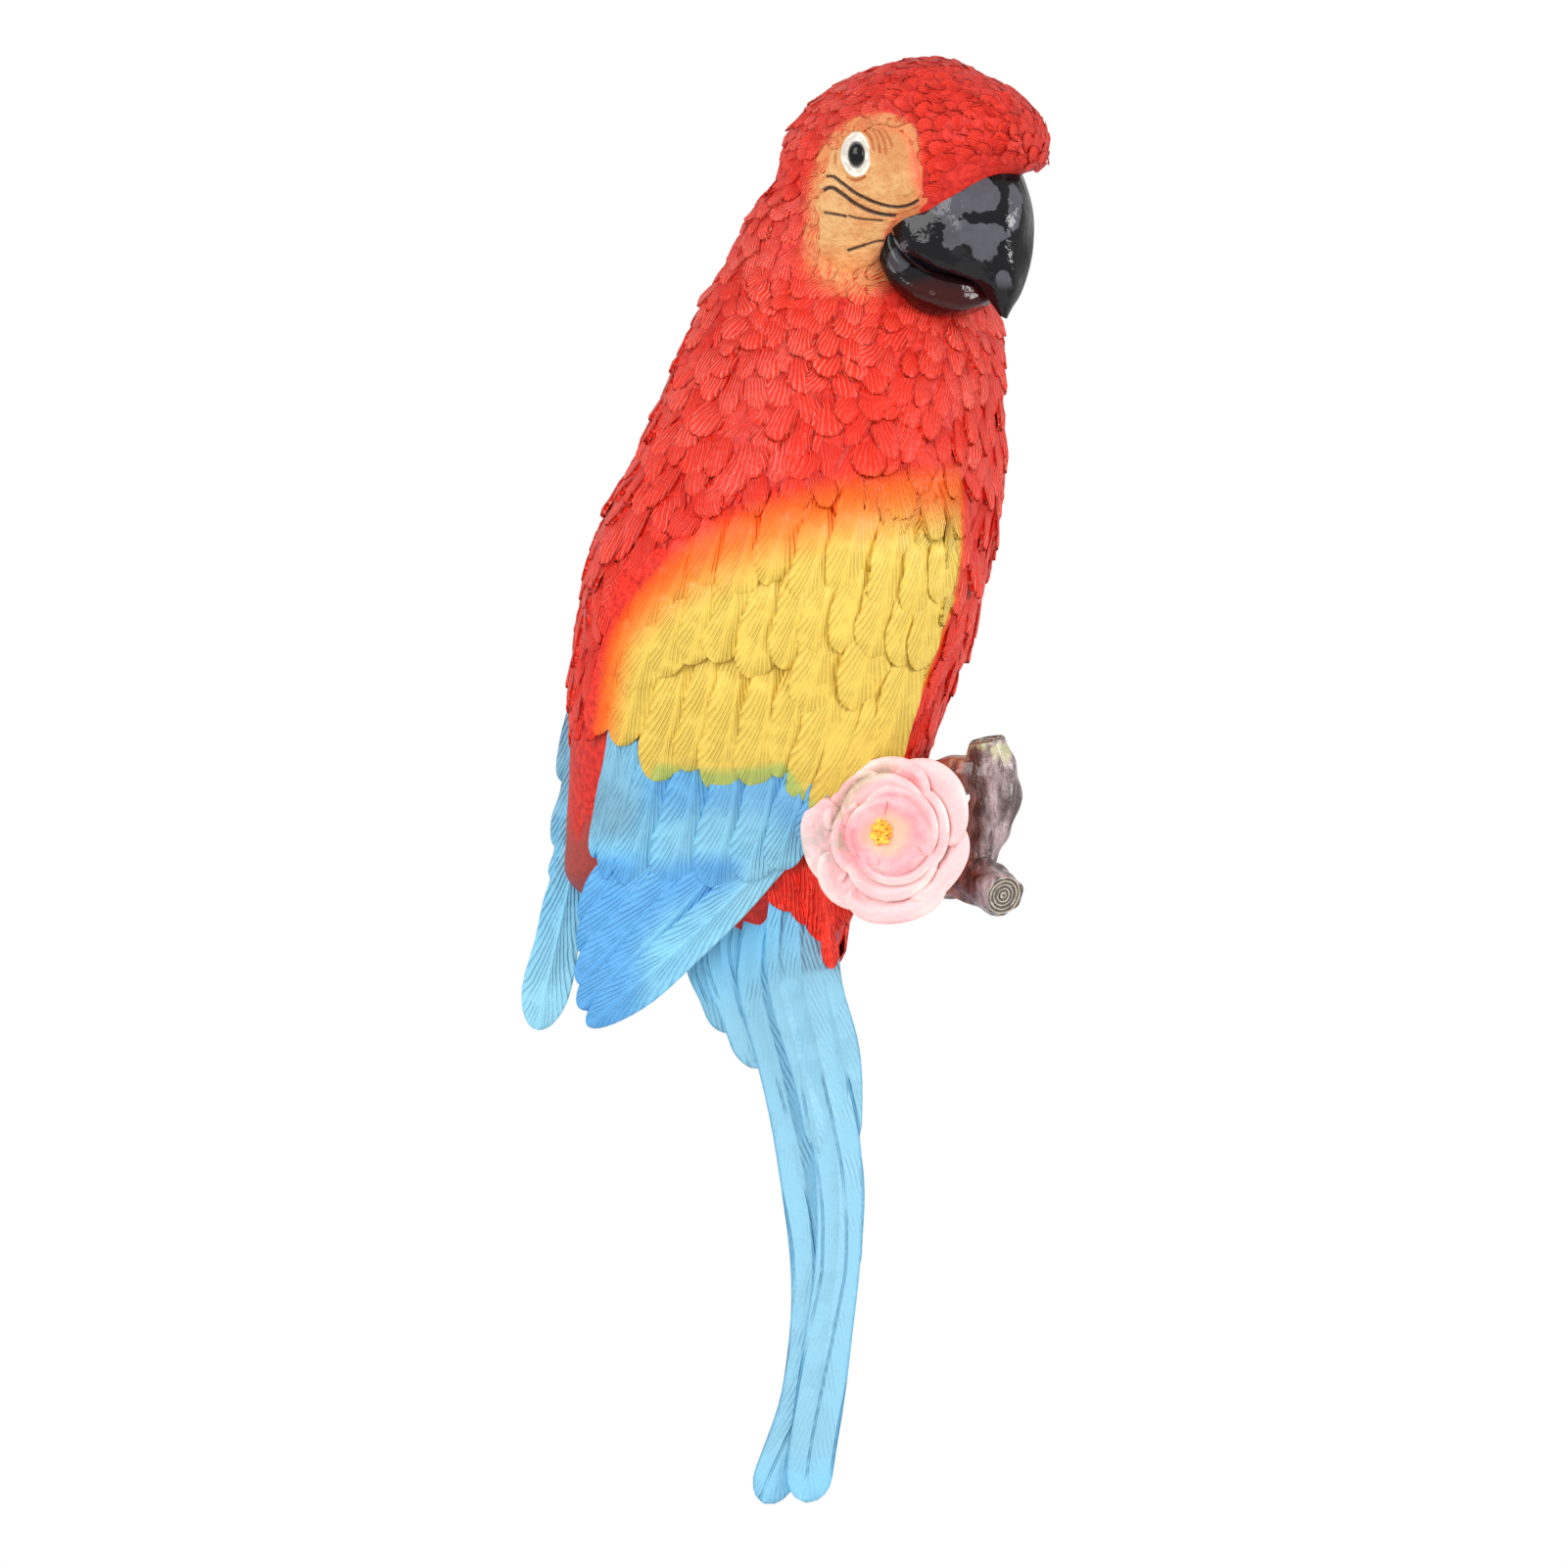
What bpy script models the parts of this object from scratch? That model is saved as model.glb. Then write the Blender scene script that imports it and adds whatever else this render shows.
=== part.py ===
"""A wall ornament cast in resin: a macaw that clings to a branch stub behind an open flower.

The bird, branch and flower are one casting with a flat back and a blind hanging hole.
X runs to the right, Z up, and the wall is the plane y = 0, with the bird on its -Y side.
The origin is on the flat back, in the middle of the body. Sizes below are in millimetres.
"""

import math

import bmesh
import bpy
import numpy as np
from mathutils import Vector

# Real height of the ornament, and the height at which the tables below are drawn
ORNAMENT_HEIGHT = 305.0
DRAWN_HEIGHT = 305.0
MM = 0.001 * ORNAMENT_HEIGHT / DRAWN_HEIGHT

# Body, seen from the front: height, left side, right side, middle depth, half depth, slope of the section
BODY_LEVELS = (
    (94.0, 12.0, 24.0, -28.0, 9.0, 0.30),
    (88.0, 1.5, 30.0, -28.0, 15.5, 0.32),
    (82.0, -4.4, 33.0, -27.5, 19.0, 0.36),
    (76.0, -8.2, 36.6, -25.5, 19.8, 0.38),
    (68.0, -12.2, 41.2, -25.0, 20.0, 0.38),
    (59.0, -17.0, 44.6, -25.5, 23.4, 0.34),
    (49.0, -21.6, 46.0, -26.5, 28.5, 0.28),
    (38.0, -26.2, 46.0, -26.8, 32.5, 0.20),
    (26.0, -31.6, 46.0, -26.5, 35.5, 0.15),
    (12.0, -38.4, 44.4, -26.0, 37.5, 0.10),
    (0.0, -41.4, 42.0, -25.0, 37.8, 0.08),
    (-14.0, -44.0, 37.8, -23.5, 36.5, 0.06),
    (-28.0, -44.8, 32.6, -21.5, 33.5, 0.04),
    (-42.0, -44.2, 26.6, -19.0, 29.0, 0.02),
    (-54.0, -42.6, 20.2, -16.0, 23.5, 0.0),
    (-64.0, -38.0, 15.5, -13.0, 18.0, 0.0),
    (-74.0, -28.0, 12.5, -10.0, 12.5, 0.0),
    (-84.0, -16.0, 9.0, -8.0, 8.0, 0.0),
)
BODY_ROUNDNESS = 2.15

# Carved contour feathers of the body, longer in the lower rows
TILES_ROUND = 20
TILE_ROWS = 16
TOP_ROW_PITCH = 7.0
BOTTOM_ROW_PITCH = 13.0
TILE_RELIEF = 1.1
TILE_TIP = 0.55

# Head, in a frame turned towards the viewer: distance ahead, top, bottom, half width
HEAD_X = 20.0
HEAD_Y = -32.0
HEAD_TURN = math.radians(22.0)
HEAD_SECTIONS = (
    (-20.8, 90.0, 84.0, 3.0),
    (-18.6, 96.0, 72.0, 10.0),
    (-14.0, 101.8, 62.0, 16.0),
    (-7.0, 106.6, 58.0, 20.0),
    (1.0, 109.6, 62.0, 21.6),
    (9.0, 111.4, 72.0, 21.2),
    (16.5, 110.8, 74.0, 19.2),
    (23.4, 108.2, 76.0, 16.6),
    (29.2, 104.2, 80.0, 14.2),
    (33.4, 99.0, 83.0, 11.2),
    (35.8, 92.4, 86.0, 6.5),
)
HEAD_SIDES = 26
HEAD_ROUNDNESS = 2.2

# Beak sections in the head's middle plane, root to tip: inner x, inner z, outer x, outer z, half width
UPPER_BEAK = (
    (26.0, 80.5, 46.5, 90.5, 11.6),
    (27.4, 76.6, 50.6, 87.0, 13.4),
    (29.9, 71.0, 53.2, 79.5, 13.2),
    (34.2, 67.0, 53.4, 72.0, 11.2),
    (39.4, 65.6, 52.4, 66.4, 8.6),
    (43.3, 63.8, 50.8, 61.6, 5.6),
    (45.2, 60.4, 49.2, 58.6, 3.2),
    (46.8, 57.0, 47.9, 56.4, 0.9),
)
LOWER_BEAK = (
    (28.5, 79.5, 24.0, 76.0, 9.6),
    (27.5, 75.4, 23.0, 70.0, 12.8),
    (28.0, 71.6, 24.6, 64.6, 13.4),
    (30.2, 68.4, 28.0, 60.0, 12.8),
    (33.6, 66.2, 32.2, 57.2, 11.6),
    (37.2, 65.0, 37.4, 57.2, 9.4),
    (40.6, 64.2, 41.4, 58.8, 6.2),
    (43.4, 63.4, 44.2, 60.6, 1.8),
)
BEAK_SIDES = 7
# How round the mandibles are across: 1 is an ellipse, less is fuller
UPPER_BEAK_CURVE = 0.8
LOWER_BEAK_CURVE = 0.6

# Eyes and the bare patch of the face
EYE_AHEAD = 3.0
EYE_Z = 91.4
EYE_RADIUS = 2.3
EYE_RIM_RADIUS = 3.7
EYE_RISE = 2.0
EYE_RIM_RISE = 1.3
EYE_TALL = 1.25
EYE_SINK = 0.3
EYE_SIDES = 12

# Feathers of the right wing, seen from the front: where each row is rooted and where its tips end
WING_STAND_OFF = 1.6
WING_ROW_STEP = 0.75
# Below the body the wing is a plate that leans towards the wall
WING_LEAVES_BODY = -36.0
WING_FREE_BELOW = -64.0
WING_TIP_Z = -92.0
WING_TIP_DEPTH = 23.0
WING_TIP_SLOPE = 0.33
SHINGLE_TILT = 0.55
QUILL_RISE = 0.35
FEATHER_SINK = 4.0
FEATHER_PLATE = 2.6
# Feather roots dip this far below the body's skin, and surface at this share of their length
ROOT_DIP = 1.0
ROOT_END = 0.6
WING_ROWS = (
    # name, count, overlap, roots, tips
    ("lesser", 8, 1.45, ((-27.0, 20.0), (4.0, 26.0), (35.0, 24.0)),
     ((-36.0, -6.0), (-18.0, 1.0), (4.0, 6.0), (24.0, 7.0), (36.5, 1.0))),
    ("median", 8, 1.45, ((-31.0, 4.0), (4.0, 15.0), (36.0, 13.0)),
     ((-37.0, -21.0), (-24.0, -21.0), (-8.0, -18.5), (8.0, -16.0), (20.0, -15.0), (33.0, -14.5))),
    ("greater", 9, 1.45, ((-33.0, -10.0), (4.0, -2.0), (35.0, -1.0)),
     ((-38.8, -31.5), (-29.5, -38.5), (-12.0, -43.0), (0.0, -44.5), (12.0, -46.5), (21.5, -36.5))),
    ("secondary", 7, 2.1, ((-35.0, -27.0), (-8.0, -32.0), (12.0, -34.0)),
     ((-41.0, -59.5), (-31.0, -62.5), (-17.0, -64.5), (-5.0, -63.0), (7.0, -55.0))),
    ("primary", 5, 2.5, ((-32.0, -46.0), (-16.0, -44.0), (3.0, -45.0)),
     ((-41.4, -72.0), (-43.0, -80.0), (-43.0, -86.6), (-41.0, -91.4))),
)

# Left wing, its edge and tip beside the body: root, tip, half width
LEFT_WING_FEATHERS = (
    ((-41.0, -14.0), (-43.6, -28.0), (-46.6, -41.0), 2.7),
    ((-41.0, -28.0), (-44.2, -42.0), (-47.8, -55.0), 2.9),
    ((-42.0, -42.0), (-45.0, -54.0), (-47.6, -63.0), 3.2),
    ((-43.4, -54.0), (-48.2, -76.0), (-52.2, -93.4), 4.9),
)
LEFT_WING_DEPTH = 11.5
LEFT_WING_TIP_DEPTH = 8.0
# What reaches this far behind the wall plane is cut flat with it
BEHIND_WALL = 1.0

# Tail feathers, back of the fan first: half width, layer, points along the middle
TAIL_FEATHERS = (
    (4.6, 0, ((-14.0, -62.0), (-16.6, -76.0), (-13.4, -86.0), (-9.6, -93.8))),
    (4.4, 1, ((-11.0, -62.0), (-13.0, -78.0), (-9.4, -90.0), (-5.8, -100.0), (-3.6, -106.4))),
    (3.9, 0, ((7.0, -90.0), (11.6, -112.0), (13.2, -130.0), (12.4, -146.5))),
    (3.6, 1, ((7.0, -62.0), (8.6, -82.0), (12.4, -98.0), (13.2, -110.0), (12.8, -119.0))),
    (4.6, 1, ((-2.0, -62.0), (-5.0, -82.0), (-1.0, -100.0), (3.2, -120.0), (5.8, -140.0), (5.6, -160.0),
              (3.8, -173.0), (-0.6, -185.0), (-4.2, -193.6))),
    (5.0, 2, ((3.0, -62.0), (4.0, -82.0), (8.0, -100.0), (11.4, -120.0), (11.6, -140.0), (9.2, -160.0),
              (7.6, -172.0), (6.0, -183.0), (4.8, -193.4))),
    (4.8, 3, ((-3.0, -62.0), (-6.0, -84.0), (0.0, -104.0), (4.0, -122.0), (4.8, -134.0))),
)
TAIL_LAYER = 0.8
# Thicker than the tail stands out anywhere, so that it reaches the wall
TAIL_THICK = 32.0
# Height, and how far the tail stands out from the wall there
TAIL_DEPTHS = (
    (-194.0, 6.5),
    (-160.0, 9.0),
    (-120.0, 11.0),
    (-100.0, 13.5),
    (-86.0, 18.0),
    (-72.0, 23.5),
    (-60.0, 27.0),
)

# Ragged under-tail feathers in front of the rump: root, middle, tip, half width
VENT_FEATHERS = (
    ((7.0, -52.0), (12.0, -63.0), (14.0, -73.4), 3.8),
    ((4.0, -54.0), (9.0, -67.0), (11.0, -79.5), 3.6),
    ((2.0, -56.0), (7.4, -72.0), (9.6, -85.0), 2.6),
)
VENT_DEPTH = 31.0
VENT_TIP_DEPTH = 19.0

# Perch and its forks: points along the middle (x, y, z) with radii
PERCH = (
    ((20.0, 2.0, -55.0), 5.8),
    ((20.6, -16.0, -54.6), 6.4),
    ((21.6, -30.0, -53.6), 6.2),
    ((21.7, -43.0, -52.0), 5.2),
)
FORK_ARM = (
    ((21.0, -27.0, -57.0), 5.0),
    ((30.0, -29.0, -59.0), 5.4),
    ((38.0, -31.0, -60.4), 5.6),
    ((42.6, -35.0, -62.6), 5.0),
    ((46.2, -41.0, -64.8), 4.4),
)
UPPER_STUB = (
    ((38.6, -30.6, -60.6), 4.6),
    ((41.6, -31.0, -53.0), 4.7),
    ((44.2, -31.6, -45.0), 5.3),
    ((44.0, -32.4, -38.0), 5.2),
    ((43.0, -33.4, -32.2), 3.9),
)
STUB_KNOT = (
    ((44.0, -30.0, -49.0), 2.0),
    ((47.0, -27.4, -44.4), 3.2),
    ((47.6, -25.4, -41.6), 2.2),
)
UPPER_TWIG = (
    ((22.0, -27.0, -44.0), 3.0),
    ((32.0, -28.6, -40.2), 3.9),
    ((41.6, -31.6, -38.8), 4.2),
)
BRANCH_SIDES = 9
GNARL = 0.07
GNARLS_ROUND = 3
GNARL_TWIST = 1.7

# Flower: middle, lean to the left and up, petals
FLOWER_CENTRE = (21.7, -43.0, -52.6)
FLOWER_LEAN_X = math.radians(6.0)
FLOWER_LEAN_Z = math.radians(-8.0)
PETALS = (
    # angle, half spread, root radius, rim radius, root height, rim height
    (52.0, 44.0, 3.0, 20.4, 0.0, 5.4),
    (128.0, 40.0, 3.0, 15.0, 0.0, 5.0),
    (190.0, 40.0, 3.0, 18.0, 0.0, 5.2),
    (240.0, 40.0, 3.0, 17.8, 0.0, 5.4),
    (292.0, 40.0, 3.0, 18.6, 0.0, 5.6),
    (350.0, 42.0, 3.0, 18.0, 0.0, 5.2),
    (30.0, 58.0, 2.7, 12.6, 3.0, 8.8),
    (120.0, 58.0, 2.7, 12.2, 3.0, 9.2),
    (210.0, 58.0, 2.7, 12.6, 3.0, 8.8),
    (300.0, 58.0, 2.7, 12.2, 3.0, 9.0),
)
PETAL_THICK = 2.0
PETAL_ROOT_THICK = 2.6
PETAL_CURL = 1.1
PETAL_CURL_START = 0.8
PETAL_ROOT_SPREAD = 0.75
PETAL_CORNER = 0.18
PETAL_TILT = 0.5
PETAL_LIFT_POWER = 1.6
STAMEN_RADIUS = 3.0
STAMEN_HEIGHT = 7.0
BOWL_FLOOR = 5.4
BOWL_RADIUS = 8.0
CALYX_RADIUS = 9.5
CALYX_DEPTH = 9.0

# Blind hole in the back for a nail or a screw head
HANGING_HOLE_X = 3.6
HANGING_HOLE_Z = 44.0
HANGING_HOLE_RADIUS = 4.5
HANGING_HOLE_DEPTH = 12.0
HANGING_HOLE_SIDES = 20
WALL_CUT_SIZE = 500.0


def smooth_table(rows, at):
    """Columns of a table read at other values of its first column, along a smooth curve."""
    table = np.array(sorted(rows), float)
    key, values = table[:, 0], table[:, 1:]
    slope = np.gradient(values, key, axis=0)
    at = np.clip(np.asarray(at, float), key[0], key[-1])
    i = np.clip(np.searchsorted(key, at) - 1, 0, len(key) - 2)
    span = (key[i + 1] - key[i])[..., None]
    t = (at - key[i])[..., None] / span
    a, b = values[i], values[i + 1]
    return (
        a * (2 * t**3 - 3 * t**2 + 1)
        + slope[i] * span * (t**3 - 2 * t**2 + t)
        + b * (3 * t**2 - 2 * t**3)
        + slope[i + 1] * span * (t**3 - t**2)
    )


def along(points, count):
    """That many points evenly placed on a smooth curve through the given ones."""
    points = np.array(points, float)
    steps = np.linalg.norm(np.diff(points, axis=0), axis=1)
    key = np.concatenate([[0], np.cumsum(steps)])
    rows = [(k, *p) for k, p in zip(key, points)]
    return smooth_table(rows, np.linspace(0, key[-1], count))


def smooth_step(low, high, value):
    t = min(1.0, max(0.0, (value - low) / (high - low)))
    return t * t * (3 - 2 * t)


def shell(name, rings, material):
    """A closed form skinned over rings of equally many points, its ends closed across each ring."""
    bm = bmesh.new()
    made = [[bm.verts.new(Vector(p) * MM) for p in ring] for ring in rings]
    for low, high in zip(made, made[1:]):
        for i in range(len(low)):
            j = (i + 1) % len(low)
            bm.faces.new((low[i], low[j], high[j], high[i]))
    for ring in (made[0], made[-1]):
        a, b = 0, len(ring) - 1
        while b - a >= 3:
            bm.faces.new((ring[a], ring[a + 1], ring[b - 1], ring[b]))
            a, b = a + 1, b - 1
        if b - a == 2:
            bm.faces.new((ring[a], ring[a + 1], ring[b]))
    bmesh.ops.triangulate(bm, faces=bm.faces[:])
    bmesh.ops.recalc_face_normals(bm, faces=bm.faces[:])
    mesh = bpy.data.meshes.new(name)
    bm.to_mesh(mesh)
    bm.free()
    mesh.materials.append(material)
    obj = bpy.data.objects.new(name, mesh)
    return obj


def rounded(angle, power):
    """A point of a rounded section one unit across."""
    c, s = math.cos(angle), math.sin(angle)
    return (
        math.copysign(abs(c) ** (2 / power), c),
        math.copysign(abs(s) ** (2 / power), s),
    )


def body_section(z):
    """Middle x, half width, middle y, half depth and slope of the body at a height."""
    left, right, depth, half_depth, slope = smooth_table(BODY_LEVELS, z)
    return (left + right) / 2, (right - left) / 2, depth, half_depth, slope


def body_point(z, angle, grow):
    x, half_width, y, half_depth, slope = body_section(z)
    u, v = rounded(angle, BODY_ROUNDNESS)
    across = (half_width + grow) * u
    return (x + across, y + slope * across + (half_depth + grow) * v, z)


def body_front(x, z, grow):
    """Depth of the body's front skin at a place seen from the front."""
    middle, half_width, y, half_depth, slope = body_section(z)
    u = max(-0.97, min(0.97, (x - middle) / (half_width + grow)))
    rise = (1 - abs(u) ** BODY_ROUNDNESS) ** (1 / BODY_ROUNDNESS)
    return y + slope * (x - middle) - (half_depth + grow) * rise


def carved_body(material):
    """The body, its skin stepped into rows of overlapping pointed feathers."""
    columns = 2 * TILES_ROUND
    top, bottom = BODY_LEVELS[0][0], BODY_LEVELS[-1][0]
    rings = [[body_point(top, 2 * math.pi * c / columns, 0) for c in range(columns)]]
    height = top
    for row in range(TILE_ROWS):
        pitch = TOP_ROW_PITCH + (BOTTOM_ROW_PITCH - TOP_ROW_PITCH) * row / (TILE_ROWS - 1)
        height -= pitch
        for grow in (TILE_RELIEF * min(1.0, (row + 1) / 4), 0.0):
            ring = []
            for c in range(columns):
                drop = TILE_TIP * pitch * ((c + row) % 2)
                ring.append(body_point(height - drop, 2 * math.pi * c / columns, grow))
            rings.append(ring)
    rings.append([body_point(bottom, 2 * math.pi * c / columns, 0) for c in range(columns)])
    return shell("body", rings, material)


def head_place(ahead, aside, z):
    """A place in the turned head as a place of the whole ornament."""
    c, s = math.cos(HEAD_TURN), math.sin(HEAD_TURN)
    return (HEAD_X + ahead * c - aside * s, HEAD_Y - ahead * s - aside * c, z)


def head_form(material):
    rings = []
    for ahead, top, bottom, half_width in HEAD_SECTIONS:
        ring = []
        for i in range(HEAD_SIDES):
            u, v = rounded(2 * math.pi * i / HEAD_SIDES, HEAD_ROUNDNESS)
            ring.append(head_place(ahead, half_width * u, (top + bottom) / 2 + (top - bottom) / 2 * v))
        rings.append(ring)
    return shell("head", rings, material)


def head_side(ahead, z):
    """How far the head's side lies from its middle plane."""
    top, bottom, half_width = smooth_table(HEAD_SECTIONS, ahead)
    v = (z - (top + bottom) / 2) / ((top - bottom) / 2)
    return half_width * (1 - abs(v) ** HEAD_ROUNDNESS) ** (1 / HEAD_ROUNDNESS)


def mandible(name, sections, curve, material):
    """Half of a beak: flat along its biting edge and round outside, narrowing to its tip."""
    rings = []
    for inner_x, inner_z, outer_x, outer_z, half_width in sections:
        ring = []
        for i in range(2 * BEAK_SIDES - 1):
            angle = math.pi * i / (2 * BEAK_SIDES - 2)
            out = math.sin(angle) ** curve
            aside = half_width * math.copysign(abs(math.cos(angle)) ** curve, math.cos(angle))
            x = inner_x + (outer_x - inner_x) * out
            ahead = (x - HEAD_X) / math.cos(HEAD_TURN)
            ring.append(head_place(ahead, aside, inner_z + (outer_z - inner_z) * out))
        rings.append(ring)
    return shell(name, rings, material)


def eye(name, side, radius, rise, material):
    """A low dome that lies on one side of the head."""
    step = EYE_RADIUS / 4

    def skin(ahead, z):
        return Vector((ahead, side * head_side(ahead, z), z))

    centre = skin(EYE_AHEAD, EYE_Z)
    forward = (skin(EYE_AHEAD + step, EYE_Z) - centre).normalized()
    upward = skin(EYE_AHEAD, EYE_Z + step) - centre
    upward = (upward - forward * upward.dot(forward)).normalized()
    outward = forward.cross(upward) * -side
    rings = []
    for share, height in ((1.0, -2.0), (1.0, 0.0), (0.86, 0.5), (0.5, 0.85), (0.12, 1.0)):
        ring = []
        for i in range(EYE_SIDES):
            angle = 2 * math.pi * i / EYE_SIDES
            place = centre + outward * (rise * height - EYE_SINK)
            place += forward * radius * share * math.cos(angle)
            place += upward * radius * EYE_TALL * share * math.sin(angle)
            ring.append(head_place(*place))
        rings.append(ring)
    return shell(name, rings, material)


def wing_sheet(x, z):
    """Depth of the right wing's skin: it lies on the body, and below the body it runs on as a plate."""
    on_body = body_front(x, z, WING_STAND_OFF)
    free = -WING_TIP_DEPTH - WING_TIP_SLOPE * (z - WING_TIP_Z)
    share = smooth_step(WING_LEAVES_BODY, WING_FREE_BELOW, z)
    return on_body * (1 - share) + free * share


# Feather outlines: share of the length, share of the half width
BLADE_OUTLINE = ((0.0, 0.70), (0.35, 0.96), (0.62, 1.0), (0.82, 0.84), (0.94, 0.52), (1.0, 0.16))
LONG_OUTLINE = (
    (0.0, 0.8), (0.15, 0.95), (0.3, 1.0), (0.45, 1.0), (0.6, 1.0), (0.75, 0.97), (0.88, 0.85), (0.96, 0.55),
    (1.0, 0.2),
)


def blade(name, path, half_width, depth_at, sink, material, outline=BLADE_OUTLINE):
    """One long feather: a raised quill, one edge over its neighbour, and a round tip."""
    fine = along(path, 41)
    steps = np.linspace(0, 1, 41)

    def place(share):
        return np.array([np.interp(share, steps, fine[:, k]) for k in (0, 1)])

    rings = []
    for share, width in outline:
        x, z = place(share)
        run = place(share + 0.03) - place(share - 0.03)
        side = np.array([-run[1], run[0]]) * half_width * width / np.linalg.norm(run)
        left, right = (x - side[0], z - side[1]), (x + side[0], z + side[1])
        y_left, y_middle, y_right = (depth_at(*p, share) for p in (left, (x, z), right))
        rings.append(
            (
                (left[0], y_left + SHINGLE_TILT, left[1]),
                (x, y_middle - QUILL_RISE, z),
                (right[0], y_right - SHINGLE_TILT, right[1]),
                (right[0], y_right + sink, right[1]),
                (left[0], y_left + sink, left[1]),
            )
        )
    return shell(name, rings, material)


def right_wing(materials):
    """Five rows of feathers, the upper rows over the lower ones, their roots let into the body."""
    made = []
    for row, (row_name, count, overlap, roots, tips) in enumerate(WING_ROWS):
        lift = WING_ROW_STEP * (len(WING_ROWS) - 1 - row)
        roots, tips = along(roots, count), along(tips, count)
        spacing = np.linalg.norm(np.diff((roots + tips) / 2, axis=0), axis=1).mean()
        sink = lift + (FEATHER_PLATE if row_name in ("secondary", "primary") else FEATHER_SINK)

        def depth_at(x, z, share, lift=lift):
            let_in = (lift + WING_STAND_OFF + ROOT_DIP) * (1 - smooth_step(0.0, ROOT_END, share))
            return wing_sheet(x, z) - lift + let_in

        for i in range(count):
            made.append(
                blade(
                    f"{row_name}_{i + 1}",
                    (roots[i], (roots[i] + tips[i]) / 2, tips[i]),
                    spacing * overlap / 2,
                    depth_at,
                    sink,
                    materials[row_name],
                )
            )
    return made


def left_wing(material):
    """The far wing: a few edge feathers beside the body and one long tip, standing out from the wall."""
    fall = LEFT_WING_DEPTH - LEFT_WING_TIP_DEPTH
    return [
        blade(
            f"left_wing_{i + 1}",
            path,
            half_width,
            lambda x, z, share: share * fall - LEFT_WING_DEPTH,
            LEFT_WING_DEPTH + BEHIND_WALL,
            material,
        )
        for i, (*path, half_width) in enumerate(LEFT_WING_FEATHERS)
    ]


def tail(material):
    """Seven long feathers that come forward from the wall to meet the rump."""

    def depth_of(layer):
        return lambda x, z, share: -smooth_table(TAIL_DEPTHS, z)[0] - layer * TAIL_LAYER

    return [
        blade(f"tail_{i + 1}", path, half_width, depth_of(layer), TAIL_THICK, material, LONG_OUTLINE)
        for i, (half_width, layer, path) in enumerate(TAIL_FEATHERS)
    ]


def vent(material):
    fall = VENT_DEPTH - VENT_TIP_DEPTH
    return [
        blade(
            f"vent_{i + 1}",
            path,
            half_width,
            lambda x, z, share: share * fall - VENT_DEPTH,
            VENT_DEPTH,
            material,
        )
        for i, (*path, half_width) in enumerate(VENT_FEATHERS)
    ]


def limb(name, stations, material):
    """A length of branch through the given places."""
    rows = [(*place, radius) for place, radius in stations]
    smooth = along(rows, 2 * len(rows) - 2)
    rings = []
    for i, (x, y, z, radius) in enumerate(smooth):
        here = Vector((x, y, z))
        run = Vector(smooth[min(i + 1, len(smooth) - 1)][:3]) - Vector(smooth[max(i - 1, 0)][:3])
        run.normalize()
        side = run.orthogonal() if i == 0 else side - run * side.dot(run)
        side.normalize()
        other = run.cross(side)
        ring = []
        for k in range(BRANCH_SIDES):
            angle = 2 * math.pi * k / BRANCH_SIDES
            gnarl = radius * (1 + GNARL * math.sin(GNARLS_ROUND * angle + GNARL_TWIST * i))
            ring.append(here + side * gnarl * math.cos(angle) + other * gnarl * math.sin(angle))
        rings.append(ring)
    return shell(name, rings, material)


def flower_place(right, up, out):
    """A place in the leaning flower as a place of the whole ornament."""
    a, b = FLOWER_LEAN_X, FLOWER_LEAN_Z
    x, y, z = right, -out, up
    y, z = y * math.cos(a) - z * math.sin(a), y * math.sin(a) + z * math.cos(a)
    x, y = x * math.cos(b) - y * math.sin(b), x * math.sin(b) + y * math.cos(b)
    cx, cy, cz = FLOWER_CENTRE
    return (cx + x, cy + y, cz + z)


def petal(name, angle, spread, inner, rim, base_height, rim_height, material):
    """One cupped petal with a rolled rim."""
    bow = (-1.0, -0.5, 0.0, 0.5, 1.0)
    rings = []
    for t in (0.0, 0.45, 0.8, 1.0):
        over, under = [], []
        for b in bow:
            turn = math.radians(angle + spread * b * (PETAL_ROOT_SPREAD + (1 - PETAL_ROOT_SPREAD) * t))
            reach = inner + (rim * (1 - PETAL_CORNER * b * b) - inner) * t
            height = base_height + (rim_height - base_height) * t**PETAL_LIFT_POWER
            height -= PETAL_CURL * max(0.0, (t - PETAL_CURL_START) / (1 - PETAL_CURL_START)) + PETAL_TILT * b
            over.append(flower_place(reach * math.cos(turn), reach * math.sin(turn), height))
            thick = PETAL_THICK + PETAL_ROOT_THICK * (1 - t)
            under.append(flower_place(reach * math.cos(turn), reach * math.sin(turn), height - thick))
        rings.append(over + under[::-1])
    return shell(name, rings, material)


def turned_in_flower(name, profile, sides, material):
    """A round form about the flower's axis, from (radius, height) pairs."""
    return shell(
        name,
        [
            [
                flower_place(
                    r * math.cos(2 * math.pi * i / sides), r * math.sin(2 * math.pi * i / sides), h
                )
                for i in range(sides)
            ]
            for r, h in profile
        ],
        material,
    )


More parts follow.
